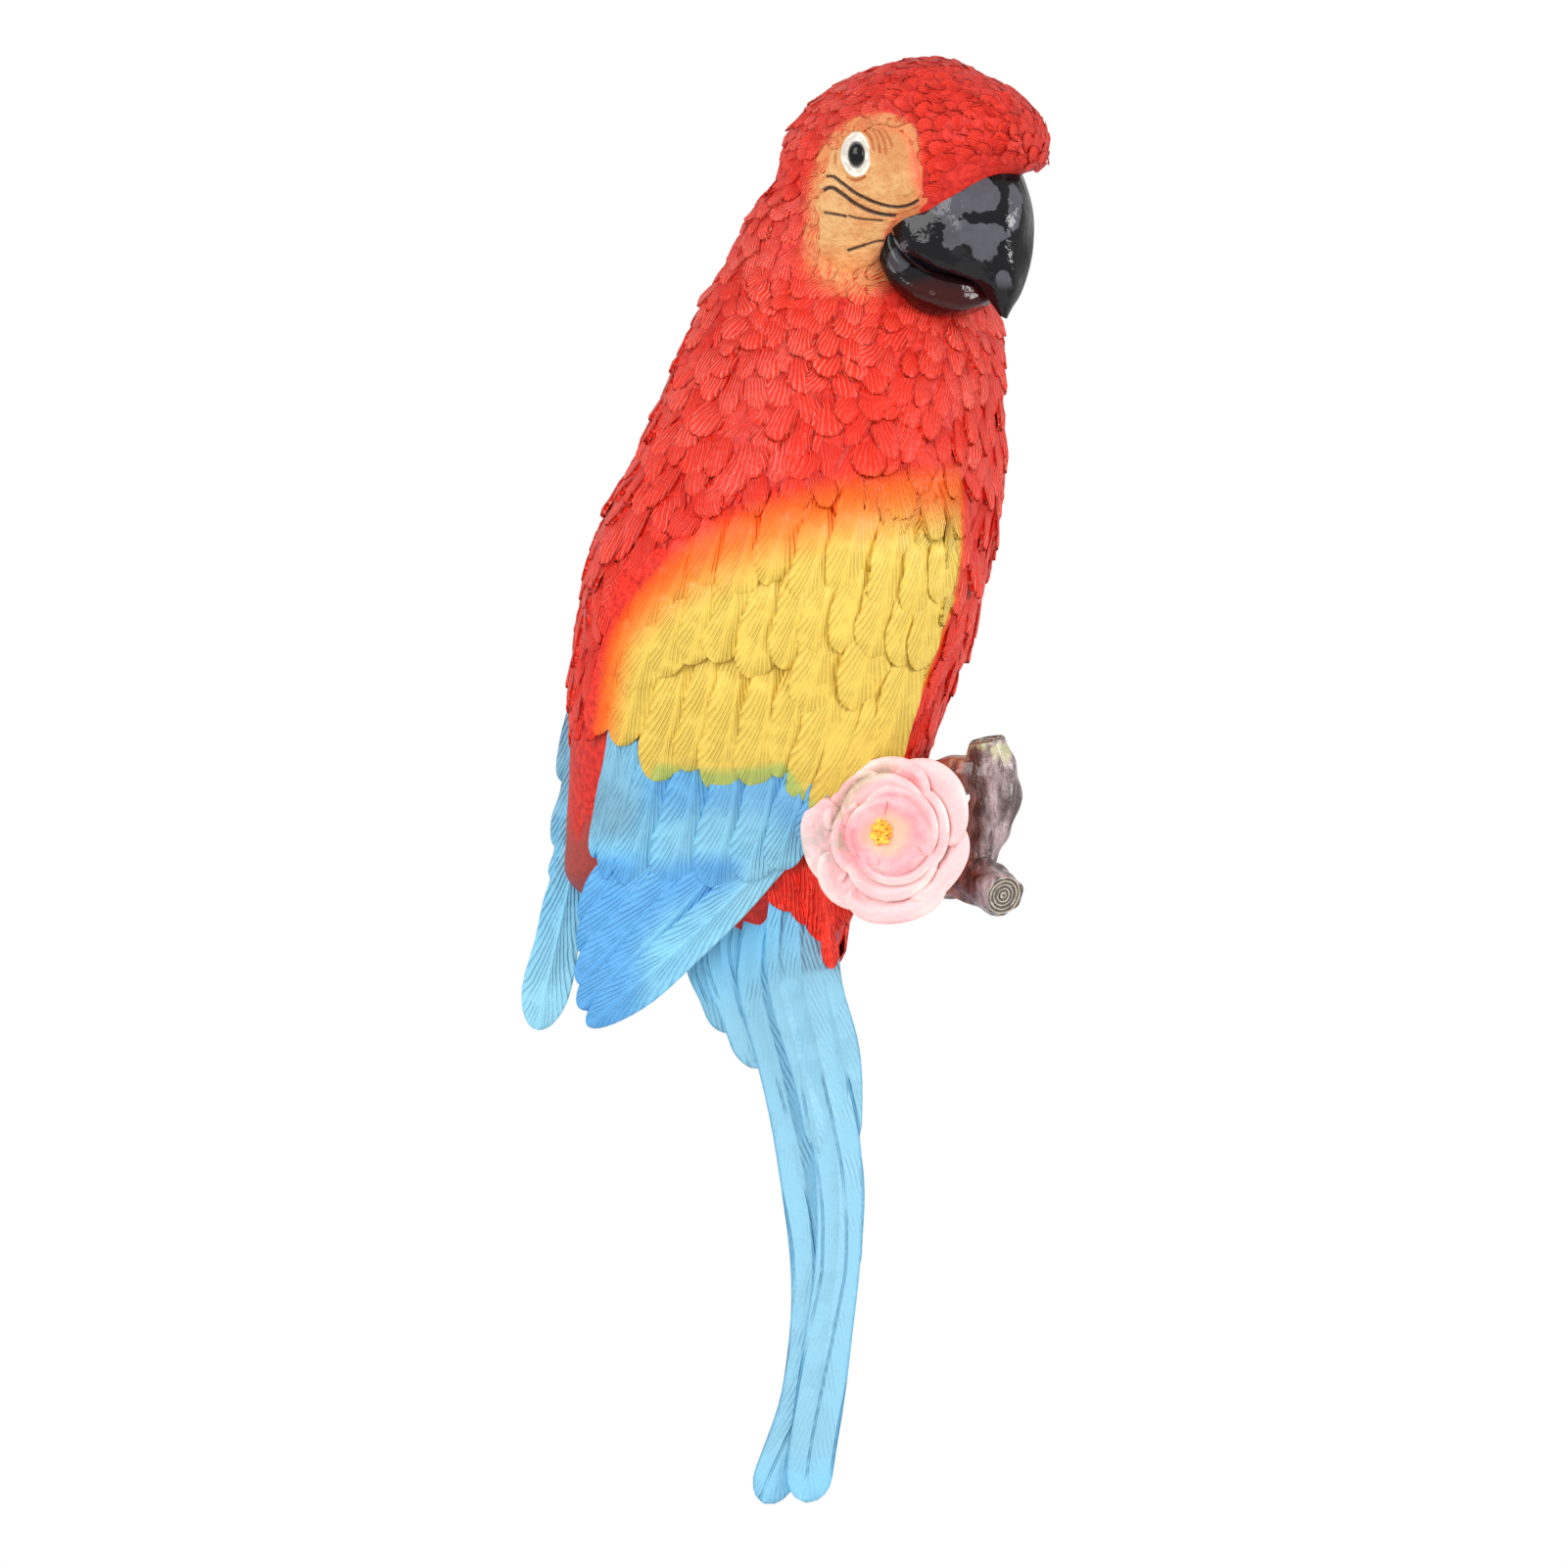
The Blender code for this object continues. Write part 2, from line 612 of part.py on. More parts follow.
def flower(petal_paint, stamen_paint, calyx_paint):
    made = [petal(f"petal_{i + 1}", *numbers, petal_paint) for i, numbers in enumerate(PETALS)]
    core = (
        (STAMEN_RADIUS / 3, STAMEN_HEIGHT + 0.6),
        (STAMEN_RADIUS, STAMEN_HEIGHT),
        (STAMEN_RADIUS + 1.4, BOWL_FLOOR),
        (BOWL_RADIUS, BOWL_FLOOR),
        (BOWL_RADIUS + 0.6, -CALYX_DEPTH / 3),
    )
    made.append(turned_in_flower("stamens", core, 10, stamen_paint))
    cup = (
        (CALYX_RADIUS / 2, 3.2),
        (CALYX_RADIUS, 1.6),
        (CALYX_RADIUS * 0.8, -CALYX_DEPTH / 3),
        (CALYX_RADIUS / 2, -CALYX_DEPTH),
    )
    made.append(turned_in_flower("calyx", cup, 12, calyx_paint))
    return made


def paint(name, colour, roughness):
    material = bpy.data.materials.new(name)
    material.use_nodes = True
    shader = material.node_tree.nodes["Principled BSDF"]
    shader.inputs["Base Color"].default_value = (*colour, 1.0)
    shader.inputs["Roughness"].default_value = roughness
    shader.inputs["Metallic"].default_value = 0.0
    return material


def helper(obj, collection):
    """Keeps an object as a tool of the Booleans only."""
    collection.objects.link(obj)
    obj.hide_render = True
    obj.display_type = "WIRE"
    return obj


def back_cutters():
    """Everything behind the wall plane, and the blind hole for hanging."""
    half = WALL_CUT_SIZE / 2
    square = ((-half, -half), (half, -half), (half, half), (-half, half))
    wall = [[(x, y, z) for x, z in square] for y in (0.0, half)]
    hole = []
    for y in (-HANGING_HOLE_DEPTH, half / 2):
        ring = []
        for i in range(HANGING_HOLE_SIDES):
            angle = 2 * math.pi * i / HANGING_HOLE_SIDES
            ring.append(
                (
                    HANGING_HOLE_X + HANGING_HOLE_RADIUS * math.cos(angle),
                    y,
                    HANGING_HOLE_Z + HANGING_HOLE_RADIUS * math.sin(angle),
                )
            )
        hole.append(ring)
    return wall, hole


def keep_largest_shell(obj):
    """Settles the Booleans into the mesh, without the loose specks they leave where three skins meet."""
    evaluated = obj.evaluated_get(bpy.context.evaluated_depsgraph_get())
    mesh = bpy.data.meshes.new_from_object(evaluated)
    obj.modifiers.clear()
    obj.data = mesh
    bm = bmesh.new()
    bm.from_mesh(mesh)
    shells, seen = [], set()
    for start in bm.verts:
        if start in seen:
            continue
        seen.add(start)
        found, front = [start], [start]
        while front:
            for edge in front.pop().link_edges:
                for vert in edge.verts:
                    if vert not in seen:
                        seen.add(vert)
                        found.append(vert)
                        front.append(vert)
        shells.append(found)
    shells.sort(key=len)
    for specks in shells[:-1]:
        bmesh.ops.delete(bm, geom=specks, context="VERTS")
    bm.to_mesh(mesh)
    bm.free()


def main():
    for obj in list(bpy.data.objects):
        bpy.data.objects.remove(obj)
    red = paint("red_paint", (0.80, 0.06, 0.04), 0.5)
    yellow = paint("yellow_paint", (0.90, 0.65, 0.08), 0.5)
    blue = paint("blue_paint", (0.15, 0.50, 0.85), 0.5)
    black = paint("black_gloss_paint", (0.01, 0.01, 0.012), 0.1)
    white = paint("white_paint", (0.85, 0.84, 0.80), 0.4)
    bark = paint("bark_paint", (0.12, 0.06, 0.045), 0.3)
    pink = paint("pink_paint", (0.92, 0.45, 0.50), 0.4)
    amber = paint("amber_paint", (0.90, 0.50, 0.06), 0.5)
    wing_paints = {"lesser": red, "median": yellow, "greater": yellow, "secondary": blue, "primary": blue}

    forms = [head_form(red)]
    forms.append(mandible("upper_beak", UPPER_BEAK, UPPER_BEAK_CURVE, black))
    forms.append(mandible("lower_beak", LOWER_BEAK, LOWER_BEAK_CURVE, black))
    for side, word in ((1, "near"), (-1, "far")):
        forms.append(eye(f"{word}_eye_rim", side, EYE_RIM_RADIUS, EYE_RIM_RISE, white))
        forms.append(eye(f"{word}_eye", side, EYE_RADIUS, EYE_RISE, black))
    forms += right_wing(wing_paints) + left_wing(blue) + tail(blue) + vent(red)
    for name, stations in (
        ("perch", PERCH),
        ("fork_arm", FORK_ARM),
        ("upper_stub", UPPER_STUB),
        ("stub_knot", STUB_KNOT),
        ("upper_twig", UPPER_TWIG),
    ):
        forms.append(limb(name, stations, bark))
    forms += flower(pink, amber, bark)

    tools = bpy.data.collections.new("sculpted_forms")
    bpy.context.scene.collection.children.link(tools)
    for form in forms:
        helper(form, tools)
    cutters = bpy.data.collections.new("back_cutters")
    bpy.context.scene.collection.children.link(cutters)
    wall, hole = back_cutters()
    wall_tool = helper(shell("wall_plane", wall, bark), cutters)
    hole_tool = helper(shell("hanging_hole", hole, bark), cutters)

    casting = carved_body(red)
    casting.name = "parrot_casting"
    bpy.context.scene.collection.objects.link(casting)
    union = casting.modifiers.new("join_forms", "BOOLEAN")
    union.operation = "UNION"
    union.solver = "MANIFOLD"
    union.operand_type = "COLLECTION"
    union.collection = tools
    for cutter in (wall_tool, hole_tool):
        cut = casting.modifiers.new(cutter.name, "BOOLEAN")
        cut.operation = "DIFFERENCE"
        cut.solver = "MANIFOLD"
        cut.object = cutter
    keep_largest_shell(casting)


main()
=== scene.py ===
"""The looks of a hanging parrot ornament in carved, cast and hand-painted resin.

Lengths are in millimetres in the row frame: X to the right, Z up, and the wall is the plane y = 0.
Colours are written as the painter's pots would be matched, in display values from 0 to 255.
"""

import math

import bmesh
import bpy
import numpy as np
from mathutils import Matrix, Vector
from mathutils.bvhtree import BVHTree


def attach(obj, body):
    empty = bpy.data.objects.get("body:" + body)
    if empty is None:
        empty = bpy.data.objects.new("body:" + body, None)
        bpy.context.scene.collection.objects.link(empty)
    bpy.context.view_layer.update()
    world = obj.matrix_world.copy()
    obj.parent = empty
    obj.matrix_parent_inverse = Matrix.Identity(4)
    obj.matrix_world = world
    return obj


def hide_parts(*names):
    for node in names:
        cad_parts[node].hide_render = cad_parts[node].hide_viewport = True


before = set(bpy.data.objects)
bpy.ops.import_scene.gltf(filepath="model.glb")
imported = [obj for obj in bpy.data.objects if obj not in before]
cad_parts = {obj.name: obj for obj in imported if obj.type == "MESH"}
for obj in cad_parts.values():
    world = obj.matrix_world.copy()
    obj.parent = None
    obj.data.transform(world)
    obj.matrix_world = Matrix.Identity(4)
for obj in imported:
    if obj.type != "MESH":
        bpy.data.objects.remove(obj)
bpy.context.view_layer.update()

# The sculpted form
# Head, neck and body are one smooth mass of resin, which the sculptor then covered with feathers.
# It is cast with a flat back, and a blind hole in the back takes the head of a nail.
MM = 0.001
CASTING = "parrot_casting"
# Height, left side, right side, middle depth, half depth, slope of the section
BODY_LEVELS = (
    (94.0, 12.0, 24.0, -28.0, 9.0, 0.30),
    (88.0, 1.5, 30.0, -28.0, 15.5, 0.32),
    (82.0, -4.4, 33.0, -27.5, 19.0, 0.36),
    (76.0, -8.2, 36.6, -25.5, 19.8, 0.38),
    (68.0, -12.2, 41.2, -25.0, 20.0, 0.38),
    (59.0, -17.0, 44.6, -25.5, 23.4, 0.34),
    (49.0, -21.6, 46.0, -26.5, 28.5, 0.28),
    (38.0, -26.2, 46.0, -26.8, 32.5, 0.20),
    (26.0, -31.6, 46.0, -26.5, 35.5, 0.15),
    (12.0, -38.4, 44.4, -26.0, 37.5, 0.10),
    (0.0, -41.4, 42.0, -25.0, 37.8, 0.08),
    (-14.0, -44.0, 37.8, -23.5, 36.5, 0.06),
    (-28.0, -44.8, 32.6, -21.5, 33.5, 0.04),
    (-42.0, -45.4, 26.6, -19.0, 29.0, 0.02),
    (-54.0, -46.0, 20.2, -16.0, 23.5, 0.0),
    (-62.0, -45.6, 16.5, -13.5, 19.0, 0.0),
    (-68.0, -38.0, 14.2, -11.5, 15.5, 0.0),
    (-74.0, -28.0, 12.5, -10.0, 12.5, 0.0),
    (-84.0, -16.0, 9.0, -8.0, 8.0, 0.0),
)
BODY_ROUNDNESS = 2.15
# Distance ahead in the turned head, top, bottom, half width
HEAD_SECTIONS = (
    (-20.8, 90.0, 84.0, 3.0),
    (-18.6, 96.0, 72.0, 10.0),
    (-14.0, 101.8, 62.0, 16.0),
    (-7.0, 106.6, 58.0, 20.0),
    (1.0, 109.6, 62.0, 21.6),
    (9.0, 111.4, 72.0, 21.2),
    (16.5, 110.8, 75.0, 19.2),
    (23.4, 107.6, 79.8, 16.6),
    (29.2, 104.8, 85.6, 14.2),
    (33.4, 101.0, 87.4, 11.4),
    (35.8, 97.0, 87.4, 8.0),
    (37.0, 93.4, 88.2, 4.0),
)
HEAD_ROUNDNESS = 2.2
HEAD_X = 20.0
HEAD_Y = -32.0
HEAD_TURN = math.radians(22.0)
FORM_VOXEL = 1.2
HANGING_HOLE = (3.6, 44.0)
HANGING_HOLE_RADIUS = 4.5
HANGING_HOLE_DEPTH = 12.0
# How far the hole's cutter reaches behind the wall plane, and the wall's behind it and to each side
HOLE_CUTTER_DEPTH = 20.0
WALL_CUTTER_DEPTH = 60.0
WALL_CUTTER_SIDE = 400.0
# How far in front of the wall plane a feather's back stays
CLEAR_OF_WALL = 0.05


def smooth_table(rows, at):
    """Columns of a table read at other values of its first column, along a smooth curve."""
    table = np.array(sorted(rows), float)
    key, values = table[:, 0], table[:, 1:]
    slope = np.gradient(values, key, axis=0)
    at = np.clip(np.asarray(at, float), key[0], key[-1])
    i = np.clip(np.searchsorted(key, at) - 1, 0, len(key) - 2)
    span = (key[i + 1] - key[i])[..., None]
    t = (at - key[i])[..., None] / span
    a, b = values[i], values[i + 1]
    return (
        a * (2 * t**3 - 3 * t**2 + 1)
        + slope[i] * span * (t**3 - 2 * t**2 + t)
        + b * (3 * t**2 - 2 * t**3)
        + slope[i + 1] * span * (t**3 - t**2)
    )


def along(points, count):
    """That many points evenly placed on a smooth curve through the given ones."""
    points = np.array(points, float)
    steps = np.linalg.norm(np.diff(points, axis=0), axis=1)
    key = np.concatenate([[0], np.cumsum(steps)])
    rows = [(k, *p) for k, p in zip(key, points)]
    return smooth_table(rows, np.linspace(0, key[-1], count))


def fade(low, high, value):
    """0 below low and 1 above high, with a soft shoulder at both."""
    t = np.clip((value - low) / (high - low), 0.0, 1.0)
    return t * t * (3 - 2 * t)


def unit(vectors):
    """The same directions, one unit long."""
    return vectors / np.linalg.norm(vectors, axis=1, keepdims=True)


def apart_from(curve, x, z):
    """Distance of places from the points of a curve, both seen from the front."""
    return np.hypot(x[..., None] - curve[:, 0], z[..., None] - curve[:, 1]).min(-1)


def rounded(angle, power):
    """Points of a rounded section one unit across."""
    c, s = np.cos(angle), np.sin(angle)
    return np.sign(c) * np.abs(c) ** (2 / power), np.sign(s) * np.abs(s) ** (2 / power)


def ring_faces(rings, sides, wrap):
    """Faces between rings of points laid out one after the other."""
    i = np.arange(rings - 1)[:, None] * sides
    j = np.arange(sides if wrap else sides - 1)
    k = (j + 1) % sides
    quads = np.stack([i + j, i + k, i + sides + k, i + sides + j], axis=-1)
    return quads.reshape(-1, 4).tolist()


def make(name, points, faces, values=None):
    """An object from points in millimetres, with named values stored on its points."""
    mesh = bpy.data.meshes.new(name)
    mesh.from_pydata((np.asarray(points) * MM).tolist(), [], faces)
    for key, numbers in (values or {}).items():
        stored = mesh.attributes.new(key, "FLOAT", "POINT")
        stored.data.foreach_set("value", np.asarray(numbers, np.float32))
    mesh.shade_smooth()
    obj = bpy.data.objects.new(name, mesh)
    bpy.context.scene.collection.objects.link(obj)
    return obj


def outward(obj):
    """Turns all faces of a closed mesh outwards."""
    bm = bmesh.new()
    bm.from_mesh(obj.data)
    bmesh.ops.recalc_face_normals(bm, faces=bm.faces[:])
    bm.to_mesh(obj.data)
    bm.free()
    return obj


def settle(obj):
    """Turns an object's modifiers into plain mesh."""
    mesh = bpy.data.meshes.new_from_object(obj.evaluated_get(bpy.context.evaluated_depsgraph_get()))
    obj.modifiers.clear()
    obj.data = mesh
    return obj


def closed_skin(name, rings):
    """A closed form over rings of points, its ends brought to a point in their middle."""
    count, sides = rings.shape[:2]
    points = np.concatenate([rings.reshape(-1, 3), rings[0].mean(0)[None], rings[-1].mean(0)[None]])
    faces = ring_faces(count, sides, True)
    low, high = count * sides, count * sides + 1
    last = (count - 1) * sides
    for k in range(sides):
        n = (k + 1) % sides
        faces.append((low, n, k))
        faces.append((high, last + k, last + n))
    return outward(make(name, points, faces))


def cut_back(obj):
    """Cuts a closed form flat at the wall."""
    side = WALL_CUTTER_SIDE
    square = ((-side, -side), (side, -side), (side, side), (-side, side))
    corners = [(x, y, z) for y in (0.0, WALL_CUTTER_DEPTH) for x, z in square]
    wall = closed_skin("wall", np.array(corners).reshape(2, 4, 3))
    cut = obj.modifiers.new("flat_back", "BOOLEAN")
    cut.operation = "DIFFERENCE"
    cut.solver = "MANIFOLD"
    cut.object = wall
    settle(obj)
    bpy.data.objects.remove(wall)
    return obj


def head_place(ahead, aside, z):
    """A place in the turned head as a place of the whole ornament."""
    c, s = math.cos(HEAD_TURN), math.sin(HEAD_TURN)
    ahead, aside, z = np.broadcast_arrays(ahead, aside, z)
    return np.stack([HEAD_X + ahead * c - aside * s, HEAD_Y - ahead * s - aside * c, z], axis=-1)


def mirrored_in_head(points):
    """The same places on the other side of the head."""
    c, s = math.cos(HEAD_TURN), math.sin(HEAD_TURN)
    x, y = points[..., 0] - HEAD_X, points[..., 1] - HEAD_Y
    ahead, aside = x * c - y * s, -x * s - y * c
    return head_place(ahead, -aside, points[..., 2])


def body_rings(count, sides):
    heights = np.linspace(BODY_LEVELS[0][0], BODY_LEVELS[-1][0], count)[:, None]
    left, right, depth, half_depth, slope = np.moveaxis(smooth_table(BODY_LEVELS, heights), -1, 0)
    u, v = rounded(np.linspace(0, 2 * math.pi, sides, endpoint=False), BODY_ROUNDNESS)
    across = (right - left) / 2 * u
    x = (left + right) / 2 + across
    y = depth + slope * across + half_depth * v
    return np.stack([x, y, heights + 0 * u], axis=-1)


def head_rings(count, sides):
    ahead = np.linspace(HEAD_SECTIONS[0][0], HEAD_SECTIONS[-1][0], count)[:, None]
    top, bottom, half_width = np.moveaxis(smooth_table(HEAD_SECTIONS, ahead), -1, 0)
    u, v = rounded(np.linspace(0, 2 * math.pi, sides, endpoint=False), HEAD_ROUNDNESS)
    return head_place(ahead, half_width * u, (top + bottom) / 2 + (top - bottom) / 2 * v)


form = closed_skin("sculpted_form", body_rings(90, 96))
skull = closed_skin("skull", head_rings(44, 48))
union = form.modifiers.new("skull", "BOOLEAN")
union.operation = "UNION"
union.solver = "MANIFOLD"
union.object = skull
remesh = form.modifiers.new("remesh", "REMESH")
remesh.mode = "VOXEL"
remesh.voxel_size = FORM_VOXEL * MM
soften = form.modifiers.new("soften", "SMOOTH")
soften.factor = 0.5
soften.iterations = 14
settle(form)
bpy.data.objects.remove(skull)

# The folded wing thickens the body under its coverts, and hangs free of it further down
WING_STAND_OFF = 1.4
WING_PAD = 2.0
# Heights between which the pad comes in at the wing's top, goes out, and the wing leaves the body
WING_TOP = (34.0, 14.0)
WING_PAD_END = (-16.0, 4.0)
WING_LEAVES_BODY = (-36.0, -64.0)
# Height and depth of the wing's tip, and the slope of the free plate there
WING_TIP = (-92.0, -23.0, -0.33)
# Height, and how far right the wing reaches there
WING_RIGHT_EDGE = (
    (-44.0, 18.0), (-35.5, 22.0), (-20.6, 28.6), (-8.0, 33.0), (-3.0, 35.0), (8.0, 36.5), (30.0, 37.0),
)


def wing_sheet(x, z):
    """Depth of the right wing's skin: it lies on the body, and below the body it runs on as a plate."""
    left, right, depth, half_depth, slope = np.moveaxis(smooth_table(BODY_LEVELS, z), -1, 0)
    middle, half_width = (left + right) / 2, (right - left) / 2
    u = np.clip((x - middle) / (half_width + WING_STAND_OFF), -0.97, 0.97)
    rise = (1 - np.abs(u) ** BODY_ROUNDNESS) ** (1 / BODY_ROUNDNESS)
    on_body = depth + slope * (x - middle) - (half_depth + WING_STAND_OFF) * rise
    free = WING_TIP[1] + WING_TIP[2] * (z - WING_TIP[0])
    share = fade(*WING_LEAVES_BODY, z)
    return on_body * (1 - share) + free * share


def right_of_wing(x, z):
    """How far a place lies to the right of the wing's front edge."""
    return x - np.interp(z, *zip(*WING_RIGHT_EDGE))


def points_of(obj):
    """Points of a mesh in millimetres."""
    points = np.empty(len(obj.data.vertices) * 3)
    obj.data.vertices.foreach_get("co", points)
    return points.reshape(-1, 3) / MM


def mesh_arrays(obj):
    """Points in millimetres, outward normals and triangles of a mesh."""
    mesh = obj.data
    mesh.calc_loop_triangles()
    normals = np.empty(len(mesh.vertices) * 3, np.float32)
    mesh.vertex_normals.foreach_get("vector", normals)
    triangles = np.empty(len(mesh.loop_triangles) * 3, np.int32)
    mesh.loop_triangles.foreach_get("vertices", triangles)
    return points_of(obj), normals.reshape(-1, 3).astype(float), triangles.reshape(-1, 3)


form_points, form_normals, form_triangles = mesh_arrays(form)
x, y, z = form_points.T
in_front = fade(-0.1, -0.5, form_normals[:, 1])
pad = WING_PAD * fade(*WING_TOP, z) * fade(2.0, -4.0, right_of_wing(x, z)) * in_front
form_points = form_points + form_normals * (pad * fade(*WING_PAD_END, z))[:, None]
# Below the coverts the body is hollowed out behind the wing's free plate
below = fade(-30.0, -42.0, z) * fade(-37.0, -31.0, x) * fade(3.0, -2.0, right_of_wing(x, z)) * (y < -10.0)
hollow = np.maximum(form_points[:, 1], wing_sheet(x, z) + 3.0)
form_points[:, 1] += (hollow - form_points[:, 1]) * below
form.data.vertices.foreach_set("co", (form_points * MM).ravel())
form.data.update()
form_points, form_normals, form_triangles = mesh_arrays(form)
form_tree = BVHTree.FromPolygons(form_points.tolist(), form_triangles.tolist())

hole_angle = np.linspace(0, 2 * math.pi, 40, endpoint=False)
hole_ring = np.stack(
    [
        HANGING_HOLE[0] + HANGING_HOLE_RADIUS * np.cos(hole_angle),
        0 * hole_angle,
        HANGING_HOLE[1] + HANGING_HOLE_RADIUS * np.sin(hole_angle),
    ],
    axis=-1,
)
cut_back(form)
hole_ends = np.stack([hole_ring - (0, HANGING_HOLE_DEPTH, 0), hole_ring + (0, HOLE_CUTTER_DEPTH, 0)])
hole = closed_skin("hanging_hole", hole_ends)
bore = form.modifiers.new("hanging_hole", "BOOLEAN")
bore.operation = "DIFFERENCE"
bore.solver = "MANIFOLD"
bore.object = hole
settle(form)
bpy.data.objects.remove(hole)


# The paint on it: each finish is one material, and its patterns are written as sums on values
class Term:
    """A value in a material, on which the usual operators add Math nodes."""

    def __init__(self, finish, socket):
        self.finish = finish
        self.socket = socket

    def math(self, operation, *values):
        sockets = dict(enumerate(values))
        return self.finish.add("ShaderNodeMath", {"operation": operation}, sockets)

    def __add__(self, other):
        return self.math("ADD", self, other)

    __radd__ = __add__

    def __mul__(self, other):
        return self.math("MULTIPLY", self, other)

    __rmul__ = __mul__

    def __sub__(self, other):
        return self.math("SUBTRACT", self, other)

    def __rsub__(self, other):
        return self.math("SUBTRACT", other, self)

    def __truediv__(self, other):
        return self.math("DIVIDE", self, other)

    def __pow__(self, other):
        return self.math("POWER", self, other)

    def __abs__(self):
        return self.math("ABSOLUTE", self)


class Finish:
    """A painted finish: a Principled BSDF and the nodes that feed it."""

    def __init__(self, name, **constants):
        self.material = bpy.data.materials.new(name)
        self.material.use_nodes = True
        self.tree = self.material.node_tree
        self.shader = self.tree.nodes["Principled BSDF"]
        for socket, value in constants.items():
            self.shader.inputs[socket.replace("_", " ")].default_value = value

    def join(self, socket, value):
        if isinstance(value, Term):
            self.tree.links.new(value.socket, socket)
        else:
            socket.default_value = value

    def add(self, kind, settings=None, sockets=None, output=0):
        """One node of any kind: its settings first, then the values or links of its sockets."""
        node = self.tree.nodes.new(kind)
        for key, value in (settings or {}).items():
            setattr(node, key, value)
        for key, value in (sockets or {}).items():
            self.join(node.inputs[key], value)
        return Term(self, node.outputs[output])

    def stored(self, name):
        """A number stored on the mesh under that name."""
        return self.add("ShaderNodeAttribute", {"attribute_name": name}, output="Fac")

    def place(self):
        return self.add("ShaderNodeTexCoord", output="Object")

    def axis(self, letter):
        """One coordinate of a place, in metres."""
        return self.add("ShaderNodeSeparateXYZ", sockets={0: self.place()}, output=letter)

    def wave(self, phase):
        """A wave between -1 and 1 that follows the phase."""
        return self.add("ShaderNodeMath", {"operation": "SINE"}, {0: phase})

    def noise(self, scale, detail=3.0, at=None):
        """Soft random spots, scale of them to a metre."""
        at = at or self.place()
        return self.add("ShaderNodeTexNoise", sockets={"Vector": at, "Scale": scale, "Detail": detail})

    def ramp(self, value, low, high):
        """0 where value is low, 1 where it is high, soft at both ends."""
        settings = {"interpolation_type": "SMOOTHSTEP"}
        return self.add("ShaderNodeMapRange", settings, {"Value": value, "From Min": low, "From Max": high})

    def mix(self, share, first, second):
        """Two colours, mixed by a share of the second."""
        return self.add("ShaderNodeMix", {"data_type": "RGBA"}, {0: share, 6: first, 7: second}, output=2)

    def feed(self, socket, value):
        self.join(self.shader.inputs[socket], value)

    def emboss(self, height, depth):
        """Fine carving: depth is its height in millimetres."""
        sockets = {"Strength": 1.0, "Distance": depth * MM, "Height": height}
        self.feed("Normal", self.add("ShaderNodeBump", sockets=sockets))


def pot(red, green, blue):
    """A colour from display values, as the shader wants it."""
    shares = [v / 255 for v in (red, green, blue)]
    return (*[v / 12.92 if v <= 0.04045 else ((v + 0.055) / 1.055) ** 2.4 for v in shares], 1.0)


SCARLET = pot(242, 48, 26)
DEEP_SCARLET = pot(196, 22, 14)
ROSE = pot(248, 112, 96)
ORANGE = pot(244, 97, 12)
YELLOW = pot(225, 193, 85)
MUSTARD = pot(206, 168, 66)
LEAF = pot(166, 188, 96)
BARE_RESIN = pot(226, 214, 196)
DARK_GROUND = pot(184, 24, 16)
LIGHT_GROUND = pot(216, 46, 32)
LOWER_LEFT_GREY = pot(138, 66, 60)
TAN_GROUND = pot(206, 128, 76)

# Under-paint: scarlet all over, thinning to bare cream resin behind
backing = Finish("scarlet_under_paint", Roughness=0.5, Specular_IOR_Level=0.35)
x_out, y_out, z_out = (backing.axis(k) for k in "XYZ")
front = backing.ramp(y_out + (backing.noise(180.0) - 0.5) * 0.004, -0.0004, -0.003)
streaks = backing.noise(700.0, 4.0)
ground = backing.mix(backing.ramp(streaks, 0.35, 0.65), DARK_GROUND, LIGHT_GROUND)
# Greyish brown low down on the left of the under-paint
lower_left = backing.ramp(z_out + (backing.noise(240.0) - 0.5) * 0.016, -0.046, -0.054)
lower_left = lower_left * backing.ramp(x_out, -0.030, -0.036)
ground = backing.mix(lower_left * 0.7, ground, LOWER_LEFT_GREY)
ground = backing.mix(backing.ramp(backing.stored("tan"), 0.15, 0.45), ground, TAN_GROUND)
ground = backing.mix(backing.ramp(backing.stored("gold"), 0.26, 0.50), ground, ORANGE)
ground = backing.mix(backing.ramp(backing.stored("gold"), 0.46, 1.0), ground, MUSTARD)
backing.feed("Base Color", backing.mix(front, BARE_RESIN, ground))
backing.emboss(streaks, 0.4)


def place_piece(obj, finish=None):
    if finish:
        obj.data.materials.clear()
        obj.data.materials.append(finish.material)
    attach(obj, "root")
    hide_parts(CASTING)
    return obj


# Contour feathers
# Small round feathers cover head, neck and body, each a raised scale that lies over the next one down.
# The sculptor combed barbs into each; rose on the high ones is dry brush and partly painted highlight.
BEAK_BASE = np.array([54.0, -46.0, 87.0])
# Height, and how far apart the feathers stand there
SPACING_BY_HEIGHT = (
    (-90.0, 4.4), (-20.0, 4.7), (12.0, 5.0), (28.0, 4.7), (40.0, 4.2),
    (52.0, 3.7), (62.0, 3.2), (74.0, 2.8), (86.0, 2.5), (112.0, 2.2),
)
# A feather's length, width and height as shares of that spacing
FEATHER_LONG = 2.5
FEATHER_WIDE = 1.5
FEATHER_PROUD = 1.15
# How far the noise moves a feather's points
FEATHER_UNEVEN = 1.6
# No feather is seated nearer to the wall than this, or lower than this
SEAT_OFF_WALL = 1.2
LOWEST_SEAT = -72.0
SEAT_TRIES = 80000
SEED = 11
# The bare patch of the face, seen from the front
FACE_OUTLINE = (
    (7.6, 85.6), (6.8, 78.0), (8.0, 70.6), (11.2, 66.4), (16.4, 65.6), (20.4, 68.4), (21.8, 73.6),
    (24.6, 77.6), (29.4, 80.4), (29.0, 85.0), (27.8, 90.0), (26.2, 94.6), (21.4, 97.2), (16.0, 96.6),
    (10.8, 92.6),
)
